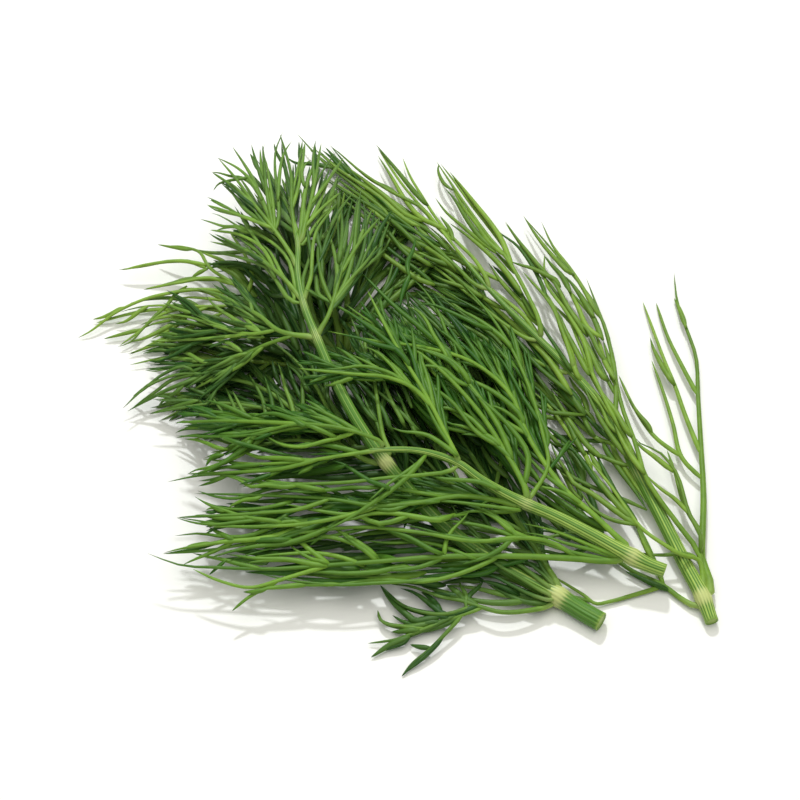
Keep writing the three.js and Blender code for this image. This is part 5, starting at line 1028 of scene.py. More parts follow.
def risen(thread):
    """A drawn thread's points in three dimensions. Its height runs evenly along it from the root's
    to the tip's."""
    root, tip, *points = thread
    drawn = np.reshape(points, (-1, 2))
    run = run_along(drawn)
    return np.column_stack((drawn, root + (tip - root) * run / run[-1]))


def rooted(thread, spots):
    """A drawn thread, led on from the spot on another limb that it springs from: the one for
    which the distance, times one plus the cost of the turn at the thread's root, is least. One
    that starts close enough to it, or would turn too far, stays as it is."""
    lead = thread[0, :2] - spots[:, :2]
    away = np.linalg.norm(lead, axis=1) + HAIR
    ahead = thread[1, :2] - thread[0, :2]
    turn = 1 - lead @ ahead / (away * np.linalg.norm(ahead))
    nearest = np.argmin(away * (1 + TURN_COST * turn))
    if away[nearest] < ROOTED or turn[nearest] > WIDEST_TURN:
        return thread
    return np.concatenate((spots[nearest][None], thread))


def read_off(paths, share):
    """Each path's point at a share of its length, its heading on the drawing and its climb, the
    height gained for each millimetre drawn."""
    place = share * (paths.shape[1] - 1)
    low = np.minimum(place.astype(int), paths.shape[1] - 2)
    each = np.arange(len(paths))
    ahead = paths[each, low + 1] - paths[each, low]
    root = paths[each, low] + (place - low)[:, None] * ahead
    heading = np.arctan2(ahead[:, 1], ahead[:, 0])
    return root, heading, ahead[:, 2] / np.hypot(ahead[:, 0], ahead[:, 1])


def grow(root, heading, climb, turn, reach, habit, rng):
    """Fine threads from their roots. A thread's direction is the limb's heading plus its turn,
    which opens over the first part of the thread and then curls back towards the limb, plus a
    small wave; its points are the running sum of equal steps in that direction. Its height is
    that of its root, plus the limb's climb and the thread's own tilt times the reach, less a sag
    that grows with the square of the share run."""
    count = len(root)
    middle = (np.arange(GROWN_RINGS) + 0.5) / GROWN_RINGS
    opened = FIRST_TURN + (1 - FIRST_TURN) * np.minimum(1, middle / OPENING)
    bend = opened * (1 - habit["curl"] * middle)
    wave = WAVE * rng.normal(size=(count, 1)) * np.sin(TURN * (middle + rng.random((count, 1))))
    direction = heading[:, None] + turn[:, None] * bend + wave
    steps = np.stack((np.cos(direction), np.sin(direction)), axis=-1) * reach[:, None, None]
    drawn = np.concatenate((np.zeros((count, 1, 2)), np.cumsum(steps / GROWN_RINGS, axis=1)), axis=1)
    share = np.linspace(0, 1, GROWN_RINGS + 1)
    tilt = CLIMB_KEPT * climb + rng.normal(0, habit["tilt"], count)
    rise = reach[:, None] * (tilt[:, None] * share - SAG * share**2)
    return np.concatenate((drawn, rise[..., None]), axis=-1) + root[:, None]


def threads_along(spine, foot, habit, until, rng):
    """Threads by turns to the left and right of a limb, shorter towards its tip: by a loss that
    grows with the square of the share run, and so that none reaches much past it."""
    length = run_along(spine)[-1]
    count = int((until * length - foot) / habit["spacing"])
    if count < 1:
        return np.zeros((0, GROWN_RINGS + 1, 3))
    spot = np.arange(count) + 0.5 + strays(SPOT_STRAY, count, rng)
    share = (foot + habit["spacing"] * spot) / length
    side = np.where((np.arange(count) + rng.integers(2)) % 2, 1, -1)
    turn = side * math.radians(habit["angle"]) * strays(ANGLE_STRAY, count, rng)
    reach = habit["reach"] * (1 - REACH_LOSS * share**2) * strays(REACH_STRAY, count, rng)
    reach = np.minimum(reach, TIP_REACH * (1 - share) * length + TIP_SPARE)
    root, heading, climb = read_off(np.repeat(spine[None], count, axis=0), share)
    return grow(root, heading, climb, turn, reach, habit, rng)


def forks_on(threads, habit, rng):
    """Forks of each thread, by turns to its left and right, that end about level with its tip."""
    count = len(threads)
    length = run_along(threads)[:, -1]
    side = np.where(rng.random(count) < 0.5, 1, -1)
    forks = []
    for number in range(habit["forks"]):
        share = (number + strays(FORK_SPOT, count, rng)) / (habit["forks"] + TIP_STRETCH)
        turn = side * math.radians(habit["fork_angle"]) * strays(FORK_ANGLE_STRAY, count, rng)
        reach = length * (1 - share) * strays(FORK_REACH_STRAY, count, rng)
        root, heading, climb = read_off(threads, share)
        forks.append(grow(root, heading, climb, turn, reach, habit, rng))
        side = -side
    return forks


def pinched(run):
    """How slim a limb is near its root, from the way run along it: one less a bell curve."""
    return 1 - ROOT_PINCH * bell(run, PINCH_LENGTH)


def toned(shade, paths, rng):
    """A random tone about the shade for each limb, from 0 to 1."""
    return np.clip(shade + rng.normal(0, TONE_STRAY, (len(paths), 1)), 0, 1)


def spine_limbs(spines, foot, flaring, shade, rng):
    """Axes or twigs as limbs: the radius falls evenly from the foot's to the tip's, an axis flares
    as a bell curve, like a sheath, where it leaves its joint, and the point is the square root of
    the share left."""
    paths = np.stack(spines)
    run = run_along(paths)
    share = run[:, :-1] / run[:, -1:]
    flare = flaring * bell(run[:, :-1], FLARE_LENGTH)
    radii = (foot + (SPINE_TIP - foot) * share) * (1 + FLARE * flare) * pinched(run[:, :-1])
    radii *= np.sqrt(np.minimum(1, (1 - share) * SPINE_POINT))
    tone = toned(shade, paths, rng) + np.zeros_like(share)
    growth = np.stack((tone, SPINE_OUT * share, flare), axis=-1)
    return {"paths": paths, "radii": radii, "growth": growth, "sides": SPINE_SIDES}


def thread_limbs(paths, width, shade, foot, rng):
    """Threads as limbs: slim at the root, nearly even in width over the first half, and then drawn
    out to a fine point. The width is one less a power of the share run, times the square root of
    one less a higher power."""
    share = np.linspace(0, 1, paths.shape[1])[:-1]
    width = width * strays(THREAD_WIDTHS, (len(paths), 1), rng)
    taper = (1 - THREAD_TAPER * share**TAPER_POWER) * np.sqrt(1 - share**POINT_POWER)
    radii = width / 2 * taper * pinched(run_along(paths)[:, :-1])
    tone = toned(shade, paths, rng)
    growth = np.stack(np.broadcast_arrays(tone, foot + (1 - foot) * share, 0.0), axis=-1)
    return {"paths": paths, "radii": radii, "growth": growth, "sides": THREAD_SIDES}


def lighten(limbs, frond):
    """Makes limbs lighter and paler beside a joint, like the sheath of a leaf: by a bell curve of
    how far off the joint is, times how pale it is."""
    joints = np.array([frond["stalk"][number] for number in frond["joints"]], float)
    pale = np.array(list(frond["joints"].values()))
    for limb in limbs:
        way = np.linalg.norm(limb["paths"][:, :-1, None] - joints, axis=-1)
        near = (pale * bell(way, SHEATH_REACH)).max(axis=-1)
        growth = limb["growth"]
        growth[..., 0] = np.minimum(1, growth[..., 0] + SHEATH_TONE * near)
        growth[..., 2] = np.maximum(growth[..., 2], near)


def drooped(row, form):
    """A row of points, hanging down past the place where its leaf starts to droop: the height less
    the slope times the way past it to the left. A point that was higher than `LOWEST_DROOP` stays
    at least that high, and the others stay where they were."""
    start, slope = form.get("droop", (0, 0))
    fallen = row[:, 2] - slope * np.maximum(0, start - row[:, 0])
    row[:, 2] = np.maximum(fallen, np.minimum(row[:, 2], LOWEST_DROOP))
    return row


def leaf_limbs(form, frond, sizes, rng):
    """Every limb of one leaf: its axis from the nearest joint, its twigs, its drawn threads, the
    lit and the dark ones, and the threads that fill in by its habit, with their forks."""
    shade, lit, dark = form["shade"], form.get("lit", []), form.get("dark", [])
    joints = [frond["stalk"][number] for number in frond["joints"]]
    joint = min(joints, key=lambda point: math.dist(point, form["axis"][0]))
    axis = drooped(smooth_row([joint, *form["axis"]], SPINE_RINGS), form)
    twigs = [drooped(smooth_row(twig, SPINE_RINGS), form) for twig in form.get("twigs", [])]
    limbs = [spine_limbs([axis], form["radius"], 1, shade, rng)]
    if twigs:
        limbs.append(spine_limbs(twigs, TWIG_RADIUS * frond["width"], 0, shade, rng))
    width = sizes.thread_width / MM * frond["width"]
    drawn = [risen(thread) for thread in [*lit, *dark]]
    rows = [drooped(smooth_row(thread, DRAWN_RINGS), form) for thread in drawn]
    for number, thread in enumerate(drawn):
        spots = np.concatenate([axis, *twigs, *rows[:number], *rows[number + 1:]])
        rows[number] = smooth_row(rooted(drooped(thread, form), spots), DRAWN_RINGS)
    if lit:
        limbs.append(thread_limbs(np.stack(rows[:len(lit)]), width, shade, DRAWN_FOOT, rng))
    lighten(limbs, frond)
    # The dark threads get a fixed low tone, painted shade beneath the heap.
    if dark:
        broad = DARK_WIDTH * width
        limbs.append(thread_limbs(np.stack(rows[len(lit):]), broad, PAINTED_SHADE_TONE, SHADY_FOOT, rng))
    habit = HABITS[form["habit"]] if "habit" in form else {"layers": []}
    # Each layer of filling threads keeps only a share of the leaf's shade, darker the deeper it lies, as
    # painted shade.
    for sink, wide, tone, part in habit["layers"]:
        until = part * habit["until"]
        feet = [form.get("foot", habit["start"])] + [habit["start"]] * len(twigs)
        spines = zip([axis, *twigs], feet)
        grown = np.concatenate([threads_along(*spine, habit, until, rng) for spine in spines])
        for threads in [grown, *forks_on(grown, habit, rng)]:
            threads[..., 2] -= sink
            limbs.append(thread_limbs(threads, wide * width, tone * shade, SHADY_FOOT, rng))
    return limbs


def surface(limb):
    """A limb's skin: at each ring the point is the middle plus the radius times (cosine of the
    angle round it, sideways, plus sine of the angle times the flatness, upwards), closed by a point
    at each end. A limb that would sink into the floor lies on it."""
    drawn = limb["paths"].copy()
    drawn[:, :-1, 2] = np.maximum(drawn[:, :-1, 2], limb["radii"] + FLOOR_GAP)
    drawn[:, -1, 2] = np.maximum(drawn[:, -1, 2], 2 * FLOOR_GAP)
    paths = placed(drawn)
    _, side, lift = compass(paths)
    angle = angles_round(limb["sides"])[:, None]
    round_it = side[:, :-1, None] * np.cos(angle)
    round_it += lift[:, :-1, None] * np.sin(angle) * FLATNESS
    skin = paths[:, :-1, None] + limb["radii"][..., None, None] * MM * round_it
    growth = np.repeat(limb["growth"][:, :, None], limb["sides"], axis=2)
    return {"skin": skin, "growth": growth, "root": paths[:, 0], "tip": paths[:, -1]}


def grid_faces(skins, rings, sides):
    """Faces over closed-round grids of points, each grid followed by its root and its tip point:
    (quads, root triangles, tip triangles), as point numbers."""
    ring, side = np.meshgrid(np.arange(rings - 1), np.arange(sides), indexing="ij")
    beside = (side + 1) % sides
    first = (np.arange(skins) * (rings * sides + 2))[:, None, None]
    low, high = ring * sides, (ring + 1) * sides
    quads = np.stack((low + side, high + side, high + beside, low + beside), axis=-1)
    quads = (first[..., None] + quads).reshape(-1, 4)
    j = np.arange(sides)
    after = (j + 1) % sides
    root, tip, last = rings * sides, rings * sides + 1, (rings - 1) * sides
    at_root = (first + np.stack((np.full(sides, root), j, after), axis=-1)).reshape(-1, 3)
    at_tip = (first + np.stack((last + j, np.full(sides, tip), last + after), axis=-1)).reshape(-1, 3)
    return quads, at_root, at_tip


def grid_map(skins, rings, sides, first_cell, cells):
    """The map corners of the same faces. Each grid fills one cell of a square chart, with the
    angle across the cell and the length up it."""
    number = first_cell + np.arange(skins)
    corner = np.stack((number % cells, number // cells), axis=-1)[:, None, None, :]
    ring, side = np.meshgrid(np.arange(rings - 1), np.arange(sides), indexing="ij")
    across = np.stack((side, side, side + 1, side + 1), axis=-1) / sides
    up = np.stack((ring, ring + 1, ring + 1, ring), axis=-1) + 1.0
    j = np.arange(sides)
    root_across = np.stack((j + 0.5, j, j + 1), axis=-1) / sides
    tip_across = np.stack((j, j + 0.5, j + 1), axis=-1) / sides
    root_up = np.broadcast_to([0.0, 1.0, 1.0], (sides, 3))
    tip_up = np.broadcast_to([rings, rings + 1.0, rings], (sides, 3))

    def in_cells(x, y):
        """The corners of each grid, a little inside its own cell."""
        inside = np.stack((x, y / (rings + 1)), axis=-1).reshape(1, -1, x.shape[-1], 2)
        return ((corner + CELL_EDGE + (1 - 2 * CELL_EDGE) * inside) / cells).reshape(-1, 2)

    return in_cells(across, up), in_cells(root_across, root_up), in_cells(tip_across, tip_up)


def put(name, data):
    """A new object in the scene, at the origin, unturned and unscaled."""
    made = bpy.data.objects.new(name, data)
    bpy.context.scene.collection.objects.link(made)
    return made


def mesh_of(name, parts, material):
    """One object from parts, each a dict of skin (n, rings, sides, 3), root and tip (n, 3) and
    growth (n, rings, sides, 3), to which the nearness to a limb's sides is added: the size of the
    cosine of the angle round it, and a half at its ends."""
    cells = math.ceil(math.sqrt(sum(len(part["skin"]) for part in parts)))
    points, growth, faces, corners = [], [], [], []
    first, first_cell = 0, 0
    for part in parts:
        skins, rings, sides, _ = part["skin"].shape
        ends = np.stack((part["root"], part["tip"]), axis=1)
        points.append(np.concatenate((part["skin"].reshape(skins, -1, 3), ends), axis=1).reshape(-1, 3))
        ends = part["growth"][:, [0, -1], 0]
        grown = np.concatenate((part["growth"].reshape(skins, -1, 3), ends), axis=1)
        rim = np.append(np.tile(np.abs(np.cos(angles_round(sides))), rings), [0.5, 0.5])
        grown = np.dstack((grown, np.broadcast_to(rim, grown.shape[:2])))
        growth.append(grown.reshape(-1, 4))
        faces += [first + some for some in grid_faces(skins, rings, sides)]
        corners += grid_map(skins, rings, sides, first_cell, cells)
        first += skins * (rings * sides + 2)
        first_cell += skins
    mesh = bpy.data.meshes.new(name)
    points = np.concatenate(points)
    mesh.vertices.add(len(points))
    mesh.vertices.foreach_set("co", points.ravel())
    sizes = np.concatenate([np.full(len(some), some.shape[1]) for some in faces])
    mesh.loops.add(int(sizes.sum()))
    mesh.loops.foreach_set("vertex_index", np.concatenate([some.ravel() for some in faces]))
    mesh.polygons.add(len(sizes))
    mesh.polygons.foreach_set("loop_start", np.concatenate(([0], np.cumsum(sizes)[:-1])))
    mesh.polygons.foreach_set("use_smooth", np.ones(len(sizes), bool))
    mesh.update(calc_edges=True)
    mesh.uv_layers.new(name=UV_MAP).data.foreach_set("uv", np.concatenate(corners).ravel())
    growth = np.concatenate(growth).ravel()
    mesh.attributes.new(GROWTH, "FLOAT_COLOR", "POINT").data.foreach_set("color", growth)
    mesh.materials.append(material)
    if mesh.validate():
        raise RuntimeError(f"{name} has a broken face")
    return put(name, mesh)


def stalk_part(form, sizes, rng):
    """A ribbed stalk as one skin. Its radius is read off the drawn radii, times a bell-shaped
    swelling at each joint, times a rib wave round it: the size of the cosine of half the number of
    ribs times the angle, which twists a little along the stalk. The cut end is closed by rings that
    shrink to its middle, a little sunk, and the far end by a point."""
    drawn = np.array(form["stalk"], float)
    length = run_along(drawn)[-1]
    count = int(length / STALK_STEP)
    path = smooth_row(form["stalk"], count + 1)
    run = run_along(path)
    joints = np.array([run[np.argmin(np.linalg.norm(path - drawn[j], axis=1))] for j in form["joints"]])
    strength = np.array(list(form["joints"].values()))
    near = (strength * bell(run[:, None] - joints, sizes.joint_reach / MM)).max(axis=1)
    share = run / run[-1]
    radius = np.interp(share, *np.array(form["radii"]).T) * (1 + sizes.joint_swelling * near)
    path[:, 2] = np.maximum(path[:, 2], radius + FLOOR_GAP)
    middle = placed(path)
    along, side, lift = compass(middle)
    sides = sizes.ribs * SIDES_IN_A_RIB
    angle = angles_round(sides)
    turned = sizes.ribs * (angle + RIB_TWIST * run[:-1, None])
    rib = np.abs(np.cos(turned / 2))
    depth = sizes.rib_depth * (1 - RIB_LOSS * near[:-1, None])
    reach = radius[:-1, None] * MM * (1 + depth * (rib - RIB_LEVEL))
    spoke = side[:-1, None] * np.cos(angle)[:, None] + lift[:-1, None] * np.sin(angle)[:, None]
    wall = middle[:-1, None] + reach[..., None] * spoke
    sunk = along[0] * radius[0] * MM
    cut = [middle[0] + sunk * deep + wide * (wall[0] - middle[0]) for wide, deep in CUT_RINGS]
    skin = np.concatenate((np.stack(cut), wall[1:]))
    pale = near[:-1, None] ** (RIDGE_FADE + GROOVE_FADE * (1 - rib))
    strong = rng.uniform(WEAKEST_RIB, 1, sizes.ribs)
    gloss = np.interp(share, *np.array(form["gloss"]).T)[:-1, None]
    rib = rib * strong[np.round(turned / TURN).astype(int) % sizes.ribs] * gloss
    growth = np.stack(np.broadcast_arrays(rib, share[:-1, None], pale), axis=-1)
    cut_growth = np.array([(ridge, 0, light) for ridge, light in CUT_GROWTH])
    growth = np.concatenate((np.repeat(cut_growth[:, None], sides, axis=1), growth[1:]))
    centre = middle[0] + sunk * CUT_RINGS[0][1]
    return {"skin": skin[None], "growth": growth[None], "root": centre[None], "tip": middle[-1:]}


def new_node(tree, kind, values):
    """A new node with its named inputs set to the values."""
    node = tree.nodes.new(f"ShaderNode{kind}")
    for name, value in values.items():
        node.inputs[name].default_value = value
    return node


def noise_at(tree, place, scale, detail):
    """Cloudy noise over a place, from 0 to 1."""
    noise = new_node(tree, "TexNoise", {"Scale": scale, "Detail": detail})
    tree.links.new(place, noise.inputs["Vector"])
    return noise.outputs["Fac"]


def object_noise(tree, scale, detail):
    """Cloudy noise on the piece's own coordinates."""
    place = new_node(tree, "TexCoord", {})
    return noise_at(tree, place.outputs["Object"], scale, detail)


def streaks(tree):
    """Streaks that run along a limb, from 0 to 1: noise on the piece's map, where the angle round
    a limb is the first coordinate and its length the second, drawn out along the length."""
    place = new_node(tree, "UVMap", {})
    place.uv_map = UV_MAP
    stretch = new_node(tree, "Mapping", {"Scale": STREAK_SCALE})
    tree.links.new(place.outputs["UV"], stretch.inputs["Vector"])
    return noise_at(tree, stretch.outputs["Vector"], 1, STREAK_DETAIL)


def growth_of(tree):
    """The values that each piece carries on its points: for a leaf tone, share of the way out to
    the tip, nearness to a joint and nearness to the limb's sides, and for a stalk ridge, share
    and nearness to a joint."""
    attribute = new_node(tree, "Attribute", {})
    attribute.attribute_name = GROWTH
    parts = new_node(tree, "SeparateColor", {})
    tree.links.new(attribute.outputs["Color"], parts.inputs["Color"])
    return [parts.outputs[name] for name in ("Red", "Green", "Blue")] + [attribute.outputs["Alpha"]]


def ramped(tree, value, start, end, low, high):
    """The value's way from start to end, as a number from low to high, eased at both ends."""
    ends = {"From Min": start, "From Max": end, "To Min": low, "To Max": high}
    ramp = new_node(tree, "MapRange", ends)
    ramp.interpolation_type = "SMOOTHSTEP"
    tree.links.new(value, ramp.inputs["Value"])
    return ramp.outputs["Result"]


def mixed(tree, factor, first, second, blend="MIX"):
    """Two colours, each a socket or a fixed colour, mixed by a factor, a socket or a number."""
    mix = new_node(tree, "Mix", {})
    mix.data_type = "RGBA"
    mix.blend_type = blend
    for value, number in ((factor, MIX_FACTOR), (first, MIX_FIRST), (second, MIX_SECOND)):
        if isinstance(value, bpy.types.NodeSocket):
            tree.links.new(value, mix.inputs[number])
        else:
            mix.inputs[number].default_value = value if number == MIX_FACTOR else (*value, 1)
    return mix.outputs[MIX_RESULT]


def new_material(name, roughness, specular):
    """A node material with its surface shader."""
    material = bpy.data.materials.new(name)
    material.use_nodes = True
    shader = material.node_tree.nodes["Principled BSDF"]
    shader.inputs["Roughness"].default_value = roughness
    shader.inputs["Specular IOR Level"].default_value = specular
    return material, material.node_tree, shader


def rough_up(tree, shader, scale, strength):
    """Fine bumps from noise."""
    bump = new_node(tree, "Bump", {"Strength": strength, "Distance": BUMP_HEIGHT * MM})
    tree.links.new(object_noise(tree, scale, BUMP_DETAIL), bump.inputs["Height"])
    tree.links.new(bump.outputs["Normal"], shader.inputs["Normal"])


def leaf_material(name, deep, bright, colours):
    """Green threads: deep to bright by tone, yellower towards the foot, darker at the tip, pale
    beside a joint, and darker along the middle as painted shade of a shallow groove, with small
    clouds of darker green and streaks of lighter green."""
    roughness, specular, clouds, bumps, strength = LEAF_FINISH
    material, tree, shader = new_material(name, roughness, specular)
    tone, out, joint, rim = growth_of(tree)
    # Deep to bright by tone: partly the limb's own tone, partly painted shade from its leaf's shade.
    green = mixed(tree, tone, deep, bright)
    for value, change, colour in (
        (out, YOUNG_FOOT, colours.young),
        (out, DARK_TIP, colours.tip),
        (object_noise(tree, clouds, CLOUD_DETAIL), CLOUDS, deep),
        (streaks(tree), STREAKS, bright),
        (joint, SHEATH_PALE, colours.joint),
    ):
        green = mixed(tree, ramped(tree, value, *change), green, colour)
    # Painted shade: the top and the underside of each limb are multiplied darker, the sides are not.
    across = mixed(tree, ramped(tree, rim, *LIMB_SIDES), GROOVE_SHADE_TINT, WHITE)
    green = mixed(tree, 1, green, across, "MULTIPLY")
    tree.links.new(green, shader.inputs["Base Color"])
    rough_up(tree, shader, bumps, strength)
    return material


def stalk_material(name, colours):
    """A ribbed stalk: pale ridges, dark grooves, small clouds of dark green and pale joints."""
    roughness, specular, clouds, bumps, strength = STALK_FINISH
    material, tree, shader = new_material(name, roughness, specular)
    ridge, _, joint, _ = growth_of(tree)
    cloud = object_noise(tree, clouds, CLOUD_DETAIL)
    green = mixed(tree, ramped(tree, ridge, *RIDGES), colours.groove, colours.ridge)
    green = mixed(tree, ramped(tree, cloud, *CLOUDS), green, colours.groove)
    green = mixed(tree, ramped(tree, joint, *JOINT_PALE), green, colours.joint)
    tree.links.new(green, shader.inputs["Base Color"])
    rough_up(tree, shader, bumps, strength)
    return material


def finish_for(slot, colours):
    """The slot's finish, made the first time that it is asked for."""
    name = f"{slot}_finish"
    if name in bpy.data.materials:
        return bpy.data.materials[name]
    if slot == "ribbed_stalk":
        return stalk_material(name, colours)
    deep, bright = {
        "fresh_leaf": (colours.fresh_deep, colours.fresh_bright),
        "bright_leaf": (colours.spring_deep, colours.spring_bright),
        "deep_leaf": (colours.forest_deep, colours.forest_bright),
    }[slot]
    return leaf_material(name, deep, bright, colours)


def settle(piece, node):
    """Hangs the piece on the root body and hides the solid that it stands for."""
    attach(piece, "root")
    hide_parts(node)


def colour_property(name, description, default):
    """A colour in the sidebar, as the amounts of red, green and blue light."""
    return FloatVectorProperty(name=name, description=description, default=default, size=3,
                               min=0, max=1, subtype="COLOR")


class DillSizes(PropertyGroup):
    """Sizes of the grown parts."""

    thread_width: FloatProperty(
        name="Thread Width", description="Width of a leaf's finest threads", default=0.95 * MM,
        min=0.2 * MM, max=2 * MM, subtype="DISTANCE", unit="LENGTH")
    ribs: IntProperty(name="Ribs", description="Ribs round a stalk", default=15, min=5, max=20)
    rib_depth: FloatProperty(
        name="Rib Depth", description="Depth of a groove as a share of the stalk's radius",
        default=0.09, min=0, max=0.4, subtype="FACTOR")
    joint_swelling: FloatProperty(
        name="Joint Swelling", description="How much thicker a stalk is at a joint",
        default=0.25, min=0, max=1, subtype="FACTOR")
    joint_reach: FloatProperty(
        name="Joint Reach", description="How far a joint's swelling runs along the stalk",
        default=1.7 * MM, min=0.5 * MM, max=8 * MM, subtype="DISTANCE", unit="LENGTH")


class DillColours(PropertyGroup):
    """Colours of the leaves and the stalks."""

    fresh_deep: colour_property(
        "Fresh Deep", "Shaded threads of the right and back fronds", (0.016, 0.088, 0.008))
    fresh_bright: colour_property(
        "Fresh Bright", "Lit threads of the right and back fronds", (0.3, 0.45, 0.06))
    spring_deep: colour_property("Spring Deep", "Shaded threads of the middle frond", (0.022, 0.11, 0.008))
    spring_bright: colour_property("Spring Bright", "Lit threads of the middle frond", (0.24, 0.42, 0.045))
    forest_deep: colour_property("Forest Deep", "Shaded threads of the front frond", (0.011, 0.07, 0.009))
    forest_bright: colour_property("Forest Bright", "Lit threads of the front frond", (0.25, 0.41, 0.065))
    young: colour_property("Young", "Feet of the axes and threads", (0.28, 0.46, 0.05))
    tip: colour_property("Tip", "Tips of the threads", (0.018, 0.09, 0.01))
    joint: colour_property("Joint", "Swollen joints", (0.52, 0.57, 0.21))
    ridge: colour_property("Ridge", "Ridges of the stalks", (0.37, 0.52, 0.1))
    groove: colour_property("Groove", "Grooves of the stalks", (0.075, 0.2, 0.02))


class DillStage(PropertyGroup):
    """The floor, the light and the lens."""

    floor_size: FloatProperty(
        name="Floor Size", description="Length of each side of the floor", default=6,
        min=0.5, max=20, subtype="DISTANCE", unit="LENGTH")
    floor: colour_property("Floor", "Colour of the floor", (0.85, 0.855, 0.825))
    view_width: FloatProperty(
        name="View Width", description="Width that the camera sees at the bunch", default=160 * MM,
        min=0.05, max=1, subtype="DISTANCE", unit="LENGTH")
    lamp_power: FloatProperty(
        name="Lamp Power", description="Power of the soft lamp behind the bunch", default=7.2,
        min=0, max=200, unit="POWER")
    softbox_power: FloatProperty(
        name="Softbox Power", description="Power of the wide softbox overhead", default=14.5,
        min=0, max=200, unit="POWER")
    fill: FloatProperty(
        name="Fill", description="Brightness of the pale surroundings", default=0.25, min=0, max=3)


class DILL_OT_stalks(Operator):
    """Makes the four ribbed stalks with their swollen joints and cut ends"""

    bl_idname = "dill.stalks"
    bl_label = "Stalks"

    def execute(self, context):
        sizes, colours = context.scene.dill_sizes, context.scene.dill_colours
        material = finish_for("ribbed_stalk", colours)
        for frond, (form, _) in FRONDS.items():
            node = f"{frond}_stalk"
            rng = np.random.default_rng(list(node.encode()))
            piece = mesh_of(f"{node}_grown", [stalk_part(form, sizes, rng)], material)
            settle(piece, node)
        return {"FINISHED"}


def grow_leaves(name, scene):
    """Every leaf of one frond, one piece for each."""
    sizes, colours = scene.dill_sizes, scene.dill_colours
    frond, leaves = FRONDS[name]
    material = finish_for(frond["slot"], colours)
    for leaf, form in leaves.items():
        node = f"{name}_{leaf}"
        rng = np.random.default_rng(list(node.encode()))
        parts = [surface(limb) for limb in leaf_limbs(form, frond, sizes, rng)]
        settle(mesh_of(f"{node}_grown", parts, material), node)


class DILL_OT_right_frond_leaves(Operator):
    """Grows the leaves of the right frond"""

    bl_idname = "dill.right_frond_leaves"
    bl_label = "Right Frond Leaves"

    def execute(self, context):
        grow_leaves("right_frond", context.scene)
        return {"FINISHED"}


class DILL_OT_middle_frond_leaves(Operator):
    """Grows the leaves of the middle frond"""

    bl_idname = "dill.middle_frond_leaves"
    bl_label = "Middle Frond Leaves"

    def execute(self, context):
        grow_leaves("middle_frond", context.scene)
        return {"FINISHED"}


class DILL_OT_front_frond_leaves(Operator):
    """Grows the leaves of the front frond"""

    bl_idname = "dill.front_frond_leaves"
    bl_label = "Front Frond Leaves"

    def execute(self, context):
        grow_leaves("front_frond", context.scene)
        return {"FINISHED"}


class DILL_OT_back_frond_leaves(Operator):
    """Grows the leaves of the back frond"""

    bl_idname = "dill.back_frond_leaves"
    bl_label = "Back Frond Leaves"

    def execute(self, context):
        grow_leaves("back_frond", context.scene)
        return {"FINISHED"}


class DILL_OT_stage(Operator):
    """Sets out the pale floor, the soft light and the camera"""

    bl_idname = "dill.stage"
    bl_label = "Stage"

    def execute(self, context):
        stage = context.scene.dill_stage
        lay_floor(stage)
        hang_lamp("back_lamp", LAMP_PLACE, LAMP_SIZE, stage.lamp_power, COOL)
        hang_lamp("softbox", (0, 0, SOFTBOX_HEIGHT), SOFTBOX_SIZE, stage.softbox_power, WARM)
        light_surroundings(context.scene, stage)
        place_camera(context.scene, stage)
        context.scene.view_settings.view_transform = "Standard"
        return {"FINISHED"}


def lay_floor(stage):
    """A flat square at height 0: corner points are plus and minus half the side."""
    half = stage.floor_size / 2
    mesh = bpy.data.meshes.new("floor")
    corners = [(-half, -half, 0), (half, -half, 0), (half, half, 0), (-half, half, 0)]
    mesh.from_pydata(corners, [], [(0, 1, 2, 3)])
    material, _, shader = new_material("floor", FLOOR_ROUGHNESS, FLOOR_SPECULAR)
    shader.inputs["Base Color"].default_value = (*stage.floor, 1)
    mesh.materials.append(material)
    floor = put("floor", mesh)


def hang_lamp(name, place, size, power, colour):
    """One square soft lamp, pointed at the middle of the bunch."""
    lamp = bpy.data.lights.new(name, "AREA")
    lamp.energy = power
    lamp.color = colour
    lamp.size = size
    hung = put(name, lamp)
    hung.location = place
    hung.rotation_euler = (Vector((0, 0, 0)) - Vector(place)).to_track_quat("-Z", "Y").to_euler()


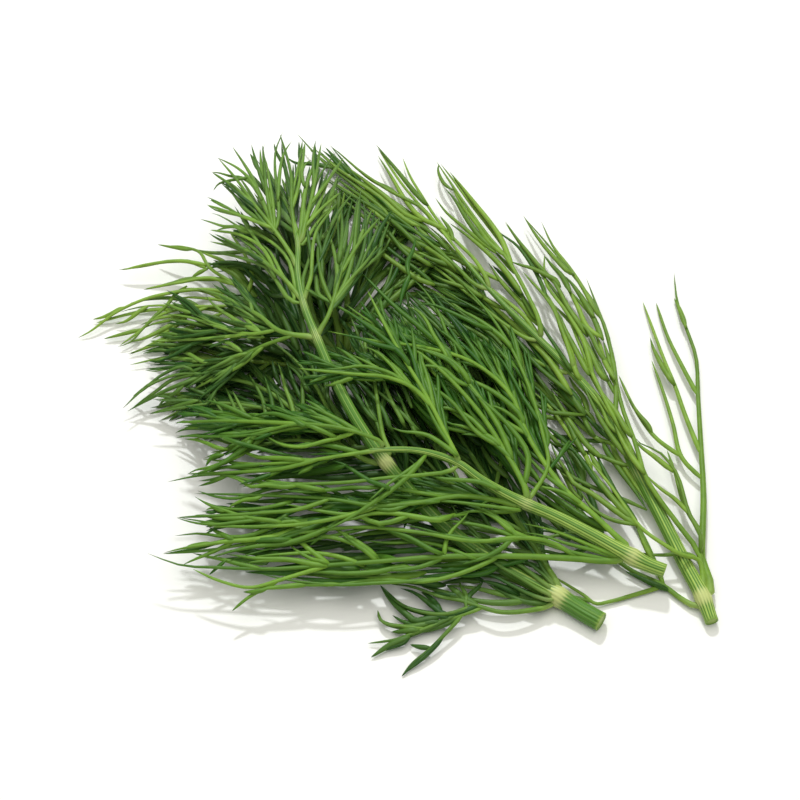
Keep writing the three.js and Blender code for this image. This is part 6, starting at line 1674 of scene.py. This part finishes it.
def light_surroundings(scene, stage):
    """Pale even light from all round."""
    world = bpy.data.worlds.new("pale_surroundings")
    world.use_nodes = True
    background = world.node_tree.nodes["Background"]
    background.inputs["Color"].default_value = (*SURROUNDINGS, 1)
    background.inputs["Strength"].default_value = stage.fill
    scene.world = world


def place_camera(scene, stage):
    """The camera stands at the drawing's eye and sees the view's width at the drawing."""
    camera = bpy.data.cameras.new("camera")
    camera.sensor_width = SENSOR_WIDTH
    camera.lens = camera.sensor_width * EYE_DISTANCE * MM / stage.view_width
    camera.clip_start = NEAREST_SEEN
    stood = put("camera", camera)
    stood.location = (EYE - FOOTPRINT_MIDDLE) * MM
    stood.rotation_euler = (math.pi / 2 - EYE_ELEVATION, 0, 0)
    scene.camera = stood


class DILL_PT_bunch(Panel):
    """The sizes and colours of the bunch, and the steps that make it"""

    bl_idname = "DILL_PT_bunch"
    bl_label = "Dill Bunch"
    bl_space_type = "VIEW_3D"
    bl_region_type = "UI"
    bl_category = "Dill"

    def draw(self, context):
        for group in GROUPS:
            box = self.layout.box()
            for name in GROUPS[group].__annotations__:
                box.prop(getattr(context.scene, group), name)
        for step in STEPS:
            self.layout.operator(step.bl_idname)


GROUPS = {"dill_sizes": DillSizes, "dill_colours": DillColours, "dill_stage": DillStage}
STEPS = [
    DILL_OT_stalks,
    DILL_OT_right_frond_leaves,
    DILL_OT_middle_frond_leaves,
    DILL_OT_front_frond_leaves,
    DILL_OT_back_frond_leaves,
    DILL_OT_stage,
]


def register():
    """Makes the classes and their settings known."""
    for each in [*GROUPS.values(), *STEPS, DILL_PT_bunch]:
        bpy.utils.register_class(each)
    for name, group in GROUPS.items():
        setattr(bpy.types.Scene, name, PointerProperty(type=group))


def unregister():
    """Takes them out again."""
    for name in GROUPS:
        delattr(bpy.types.Scene, name)
    for each in reversed([*GROUPS.values(), *STEPS, DILL_PT_bunch]):
        bpy.utils.unregister_class(each)


def main():
    """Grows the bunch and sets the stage."""
    register()
    bpy.ops.dill.stalks()
    bpy.ops.dill.right_frond_leaves()
    bpy.ops.dill.middle_frond_leaves()
    bpy.ops.dill.front_frond_leaves()
    bpy.ops.dill.back_frond_leaves()
    bpy.ops.dill.stage()


if __name__ == "__main__":
    main()
